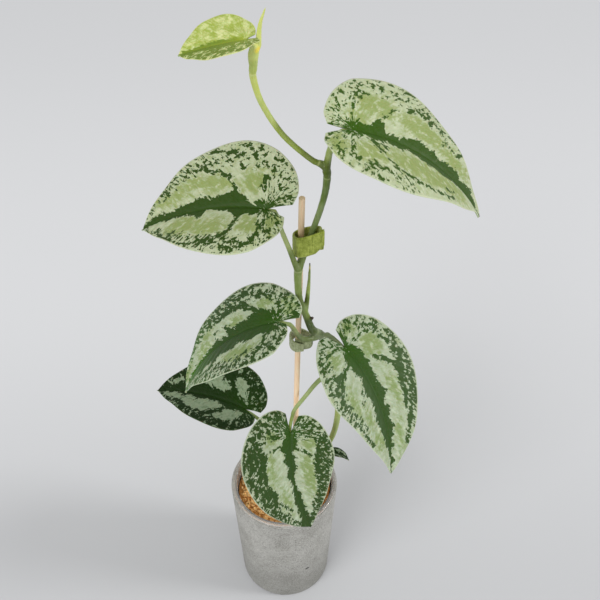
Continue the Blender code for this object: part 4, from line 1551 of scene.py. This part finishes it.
@dataclass
class Pots:
    """The stoneware pot, the clear liner in it and the bark in the liner."""

    rim: float = 32.0
    foot: float = 28.0
    height: float = 94.3
    wall: float = 2.2
    floor: float = 4.0
    lip: float = 0.9
    foot_round: float = 2.0
    foot_ring: float = 1.5
    corner: float = 1.0  # bevel between wall and floor
    gap: float = 0.3
    sides: int = 160
    liner_wall: float = 0.8
    liner_rim: float = 31.2
    liner_rim_height: float = 1.5
    liner_lip: float = 0.6
    liner_roll: float = 0.7
    soil_top: float = 88.6
    soil_sink: float = 0.5  # how far the ground lies under that
    soil_slope: float = 0.08
    soil_skirt: float = 4.0  # how far below the top its radius is taken
    bump_height: float = 0.7
    bump_scale: float = 0.12
    soil_rings: int = 14
    soil_sides: int = 72
    fleck: Place = (14.0, -25.5, 33.75)  # a dark fleck in the glaze
    fleck_flatness: float = 1.6  # how much wider than high it is
    chips: int = 1500
    chip_size: Spot = (0.4, 1.15)
    chip_form: tuple[Spot, ...] = ((0.9, 1.8), (0.6, 1.0), (0.35, 0.7))  # shares of that size
    chip_tilt: float = 0.6
    chip_rise: Spot = (-0.2, 0.6)  # over the ground
    chip_margin: float = 1.4
    lump_height: float = 0.75
    lump_scale: float = 1.5
    seed: int = 5

    def outer(self, z: float) -> float:
        """Outer radius of the pot at a height."""
        return self.foot + (self.rim - self.foot) * z / self.height

    def inner(self, z: float) -> float:
        """Inner radius of the pot at a height."""
        return self.outer(z) - self.wall

    def within(self, z: float) -> float:
        """Radius of the substrate's side at a height."""
        return self.inner(z) - self.gap - self.liner_wall - 2 * self.gap

    def stoneware(self) -> Material:
        """Makes the matt grey, with soft clouds, fine speckles and one dark fleck, with painted warm shade
        on the inside and painted shade towards the bottom.

        Returns:
            The material.
        """
        made, tree, shader = Finish("stoneware", srgb(168, 168, 163), 0.7, 0.3).start()
        place = tree.place()
        height = tree.axis(place, "Z")
        clouds = tree.noise(place, 60.0, detail=4.0)
        sand = tree.noise(place, 900.0, rough=0.7)
        grit = tree.noise(place, 1700.0, detail=2.0)
        colour = tree.layer(srgb(172, 171, 166), clouds, 0.35, 0.68, (150, 149, 143))
        colour = tree.layer(colour, sand, 0.46, 0.66, (112, 110, 105), cover=0.6)
        colour = tree.layer(colour, grit, 0.5, 0.66, (216, 215, 209), cover=0.5)
        flat = {0: tree.times(place, (1.0, 1.0, 0.0))}
        radius = tree.node("ShaderNodeVectorMath", flat, operation="LENGTH").outputs["Value"]
        taper, start = (self.rim - self.foot) / self.height, (self.foot - self.wall * 0.8) * MM
        depth = tree.math("SUBTRACT", tree.math("MULTIPLY_ADD", height, taper, start), radius)
        # painted warm shade on the inside of the pot, inward of most of the wall's thickness
        colour = tree.layer(colour, depth, -0.0003, 0.0003, (150, 128, 110))
        # painted shade, darker towards the bottom of the pot
        colour = tree.layer(colour, height, 0.065, 0.005, (118, 118, 113), cover=0.45)
        spots, pick = tree.spots(place, 420.0, 0.12, 0.3)
        dark = tree.product(spots, tree.step(pick, 0.84, 0.9), 0.55)
        white = tree.product(spots, tree.step(pick, 0.1, 0.04), 0.5)
        colour = tree.mix(dark, colour, srgb(84, 82, 76))
        colour = tree.mix(white, colour, srgb(214, 213, 206))
        flatten = (1.0, 1.0, self.fleck_flatness)
        ends = {0: tree.times(place, flatten), 1: tuple(c * f * MM for c, f in zip(self.fleck, flatten))}
        away = tree.node("ShaderNodeVectorMath", ends, operation="DISTANCE").outputs["Value"]
        ragged = tree.plus(away, tree.product(sand, 0.0012))
        colour = tree.layer(colour, ragged, 0.0024, 0.0017, (62, 60, 58))
        tree.put(shader.inputs["Base Color"], colour)
        tree.relief(shader, sand, 0.0003, 0.7)
        return made

    def build(self) -> None:
        """Builds the pot, the liner and the substrate."""
        settle(self.pot(), "pot", "stoneware")
        settle(self.liner(), "liner", "clear_liner")
        settle(self.substrate(), "substrate", "bark")

    def pot(self) -> Thing:
        """Turns the pot with its rounded lip and foot.

        Returns:
            The pot.
        """
        lip, foot, corner = self.lip, self.foot_round, self.corner
        floor, inside = self.floor, self.inner(self.floor)
        profile = [(0.0, floor), (inside - corner, floor), (inside, floor + corner)]
        profile += arc((self.inner(self.height) + lip, self.height - lip), lip, 180, 90, 8)
        profile += arc((self.rim - lip, self.height - lip), lip, 90, 0, 8)
        profile += arc((self.outer(foot) - foot, foot), foot, 0, -90, 8)
        profile += [(self.foot - foot - self.foot_ring, 0.0), (0.0, 0.0)]
        return mesh_object("stoneware_pot", *turned(profile, self.sides), self.stoneware(), crease=50)

    def liner(self) -> Thing:
        """Turns the thin clear liner with its rolled rim.

        Returns:
            The liner.
        """
        made, tree, shader = Finish("clear_liner", (0.95, 0.93, 0.9), 0.12, 0.5, 0.8, 1.4).start()
        scuffs = tree.noise(tree.place(), 300.0, rough=0.5)
        tree.put(shader.inputs["Roughness"], tree.step(scuffs, 0.3, 0.7, 0.08, 0.25))
        wall, lip, roll = self.liner_wall, self.liner_lip, self.liner_roll
        seat, floor = self.height + self.gap, self.floor + self.gap
        neck, foot = self.inner(seat) - self.gap, self.inner(floor) - self.gap
        rim, top = self.liner_rim, seat + self.liner_rim_height
        profile = [(0.0, floor + wall), (foot - wall, floor + wall), (neck - wall, top - lip)]
        profile += arc((neck - wall + lip, top - lip), lip, 160, 90, 5)
        profile += arc((rim - roll, top - roll), roll, 90, 0, 5)
        profile += [(rim, seat), (neck, seat), (foot, floor), (0.0, floor)]
        return mesh_object("clear_liner_pot", *turned(profile, self.sides), made, crease=50)

    def bark(self) -> Material:
        """Makes the fibrous orange chips.

        Returns:
            The material.
        """
        made, tree, shader = Finish("bark", srgb(190, 120, 58), 0.9, 0.15).start()
        place = tree.place()
        fibres = tree.noise(place, 1800.0, detail=4.0, rough=0.7, stretch=(1.0, 0.4, 0.4))
        light = tree.layer(srgb(255, 214, 150), fibres, 0.35, 0.7, (244, 176, 98))
        deep = tree.layer(srgb(230, 160, 88), fibres, 0.35, 0.7, (158, 100, 52))
        colour = tree.mix(tree.step(tree.read("tint"), 0.1, 0.24), deep, light)
        pits = tree.noise(place, 1300.0, rough=0.7)
        colour = tree.layer(colour, pits, 0.56, 0.64, (70, 36, 14), cover=0.85)
        tree.put(shader.inputs["Base Color"], colour)
        tree.relief(shader, fibres, 0.0004)
        return made

    def ground(self, x: float, y: float) -> float:
        """Height of the substrate's surface under the chips."""
        bumps = noise.noise(Vector((x * self.bump_scale, y * self.bump_scale, 3.0)))
        return self.soil_top - self.soil_sink + self.soil_slope * x + self.bump_height * bumps

    def substrate(self) -> Thing:
        """Builds the plug with bark and coir chips scattered on it.

        Returns:
            The substrate.
        """
        edge = self.within(self.soil_top - self.soil_skirt)
        base = self.floor + self.gap + self.liner_wall + self.gap
        profile = [(edge * ring / self.soil_rings, None) for ring in range(self.soil_rings + 1)]
        profile += [(self.within(self.floor), base), (0.0, base)]
        points, faces = turned(profile, self.soil_sides, self.ground)
        tints = [0.0] * len(points)
        draw = random.Random(self.seed)
        shape = bmesh.new()
        bmesh.ops.create_icosphere(shape, subdivisions=2, radius=1.0)
        ball = [vert.co.copy() for vert in shape.verts]
        triangles = [tuple(vert.index for vert in face.verts) for face in shape.faces]
        shape.free()
        for _ in range(self.chips):
            start = len(points)
            points += self.chip(ball, edge, draw)
            tints += [draw.random()] * len(ball)
            faces += [tuple(start + i for i in triangle) for triangle in triangles]
        thing = mesh_object("bark_substrate", points, faces, self.bark(), crease=45)
        write_attribute(thing, "tint", np.array(tints))
        return thing

    def chip(self, ball: list[Vector], edge: float, draw: random.Random) -> list[Place]:
        """Shapes one lumpy chip that lies on the ground.

        Args:
            ball: places on a ball of radius 1.
            edge: radius that the chip stays within.
            draw: the random draws.

        Returns:
            The chip's points.
        """
        reach = (edge - self.chip_margin) * math.sqrt(draw.random())
        angle = draw.uniform(0, math.tau)
        x, y = reach * math.cos(angle), reach * math.sin(angle)
        size = draw.uniform(*self.chip_size)
        form = Vector([size * draw.uniform(*shares) for shares in self.chip_form])
        spin = Matrix.Rotation(draw.uniform(0, math.tau), 3, "Z")
        turn = spin @ Matrix.Rotation(draw.uniform(-self.chip_tilt, self.chip_tilt), 3, "X")
        offset = Vector([draw.uniform(0, 50) for _ in range(3)])
        middle = Vector((x, y, self.ground(x, y) + draw.uniform(*self.chip_rise)))
        points = []
        for co in ball:
            lump = 1.0 + self.lump_height * noise.noise(co * self.lump_scale + offset)
            at = middle + turn @ (co * form) * lump
            at.xy *= edge / max(edge, math.hypot(at.x, at.y))
            points.append(tuple(at))
        return points


# Studio


@dataclass(frozen=True)
class SoftBox:
    """A large soft light that looks at the plant. Its size is in metres, its power in watts."""

    name: str
    place: Place
    size: float
    power: float
    target: Place = (0.0, 0.0, 180.0)

    def build(self) -> None:
        """Makes the light."""
        data = bpy.data.lights.new(self.name, "AREA")
        data.shape = "DISK"
        data.size = self.size
        data.energy = self.power
        thing = bpy.data.objects.new(self.name, data)
        thing.location = Vector(self.place) * MM
        aim = Vector(self.target) - Vector(self.place)
        thing.rotation_euler = aim.to_track_quat("-Z", "Y").to_euler()
        bpy.context.scene.collection.objects.link(thing)


@dataclass
class Studio:
    """Floor, world, lights and camera, which is fitted to the ellipses of the pot."""

    camera_place: Place = (9.6, -328.0, 617.0)
    camera_down: float = 47.6  # degrees below the horizon
    lens: float = 60.0
    sensor: float = 36.0
    floor_half: float = 3000.0
    floor_colour: Colour = (208, 209, 211)
    world: float = 0.6
    lights: tuple[SoftBox, ...] = (
        SoftBox("right", (4000.0, -450.0, 2100.0), 1.2, 85.0),
        SoftBox("front", (-2500.0, -3000.0, 3100.0), 3.4, 125.0),
    )

    def build(self) -> None:
        """Makes everything around the object."""
        self.camera()
        self.floor()
        world = bpy.data.worlds.new("studio")
        world.use_nodes = True
        back = world.node_tree.nodes["Background"]
        back.inputs["Color"].default_value = (1.0, 1.0, 1.0, 1.0)
        back.inputs["Strength"].default_value = self.world
        scene = bpy.context.scene
        scene.world = world
        scene.view_settings.view_transform = "Standard"
        for light in self.lights:
            light.build()
        LOG.info("studio built")

    def floor(self) -> None:
        """Makes the pale floor, with painted shade in front and a painted band of light behind the pot."""
        made, tree, shader = Finish("floor", srgb(*self.floor_colour), 1.0, 0.0).start()
        back = tree.axis(tree.place(), "Y")
        # painted shade towards the front of the floor
        front = srgb(*(c - 12 for c in self.floor_colour))
        colour = tree.layer(front, back, -0.1, 0.5, self.floor_colour)
        # a painted band of light across the floor behind the pot
        painted_light_band = tree.product(tree.step(back, -0.05, 0.26), tree.step(back, 0.7, 0.32))
        colour = tree.mix(painted_light_band, colour, srgb(*(c + 7 for c in self.floor_colour)))
        tree.put(shader.inputs["Base Color"], colour)
        half = self.floor_half
        corners = [(-half, -half, 0), (half, -half, 0), (half, half, 0), (-half, half, 0)]
        mesh_object("studio_floor", corners, [(0, 1, 2, 3)], made, smooth=False)

    def camera(self) -> None:
        """Places the camera at the photograph's angle."""
        data = bpy.data.cameras.new("camera")
        data.lens = self.lens
        data.sensor_width = self.sensor
        data.clip_start = 0.01
        data.clip_end = 50.0
        thing = bpy.data.objects.new("camera", data)
        thing.location = Vector(self.camera_place) * MM
        thing.rotation_euler = (math.radians(90 - self.camera_down), 0.0, 0.0)
        bpy.context.scene.collection.objects.link(thing)
        bpy.context.scene.camera = thing


def main() -> None:
    """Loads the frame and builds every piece."""
    logging.basicConfig(level=logging.INFO, format="%(message)s")
    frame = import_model()
    groups = Groups()
    Studio().build()
    Pots().build()
    Stake(groups).build()
    Ties().build()
    Vine(groups).build(frame)
    Blades(groups).build()


if __name__ == "__main__":
    main()
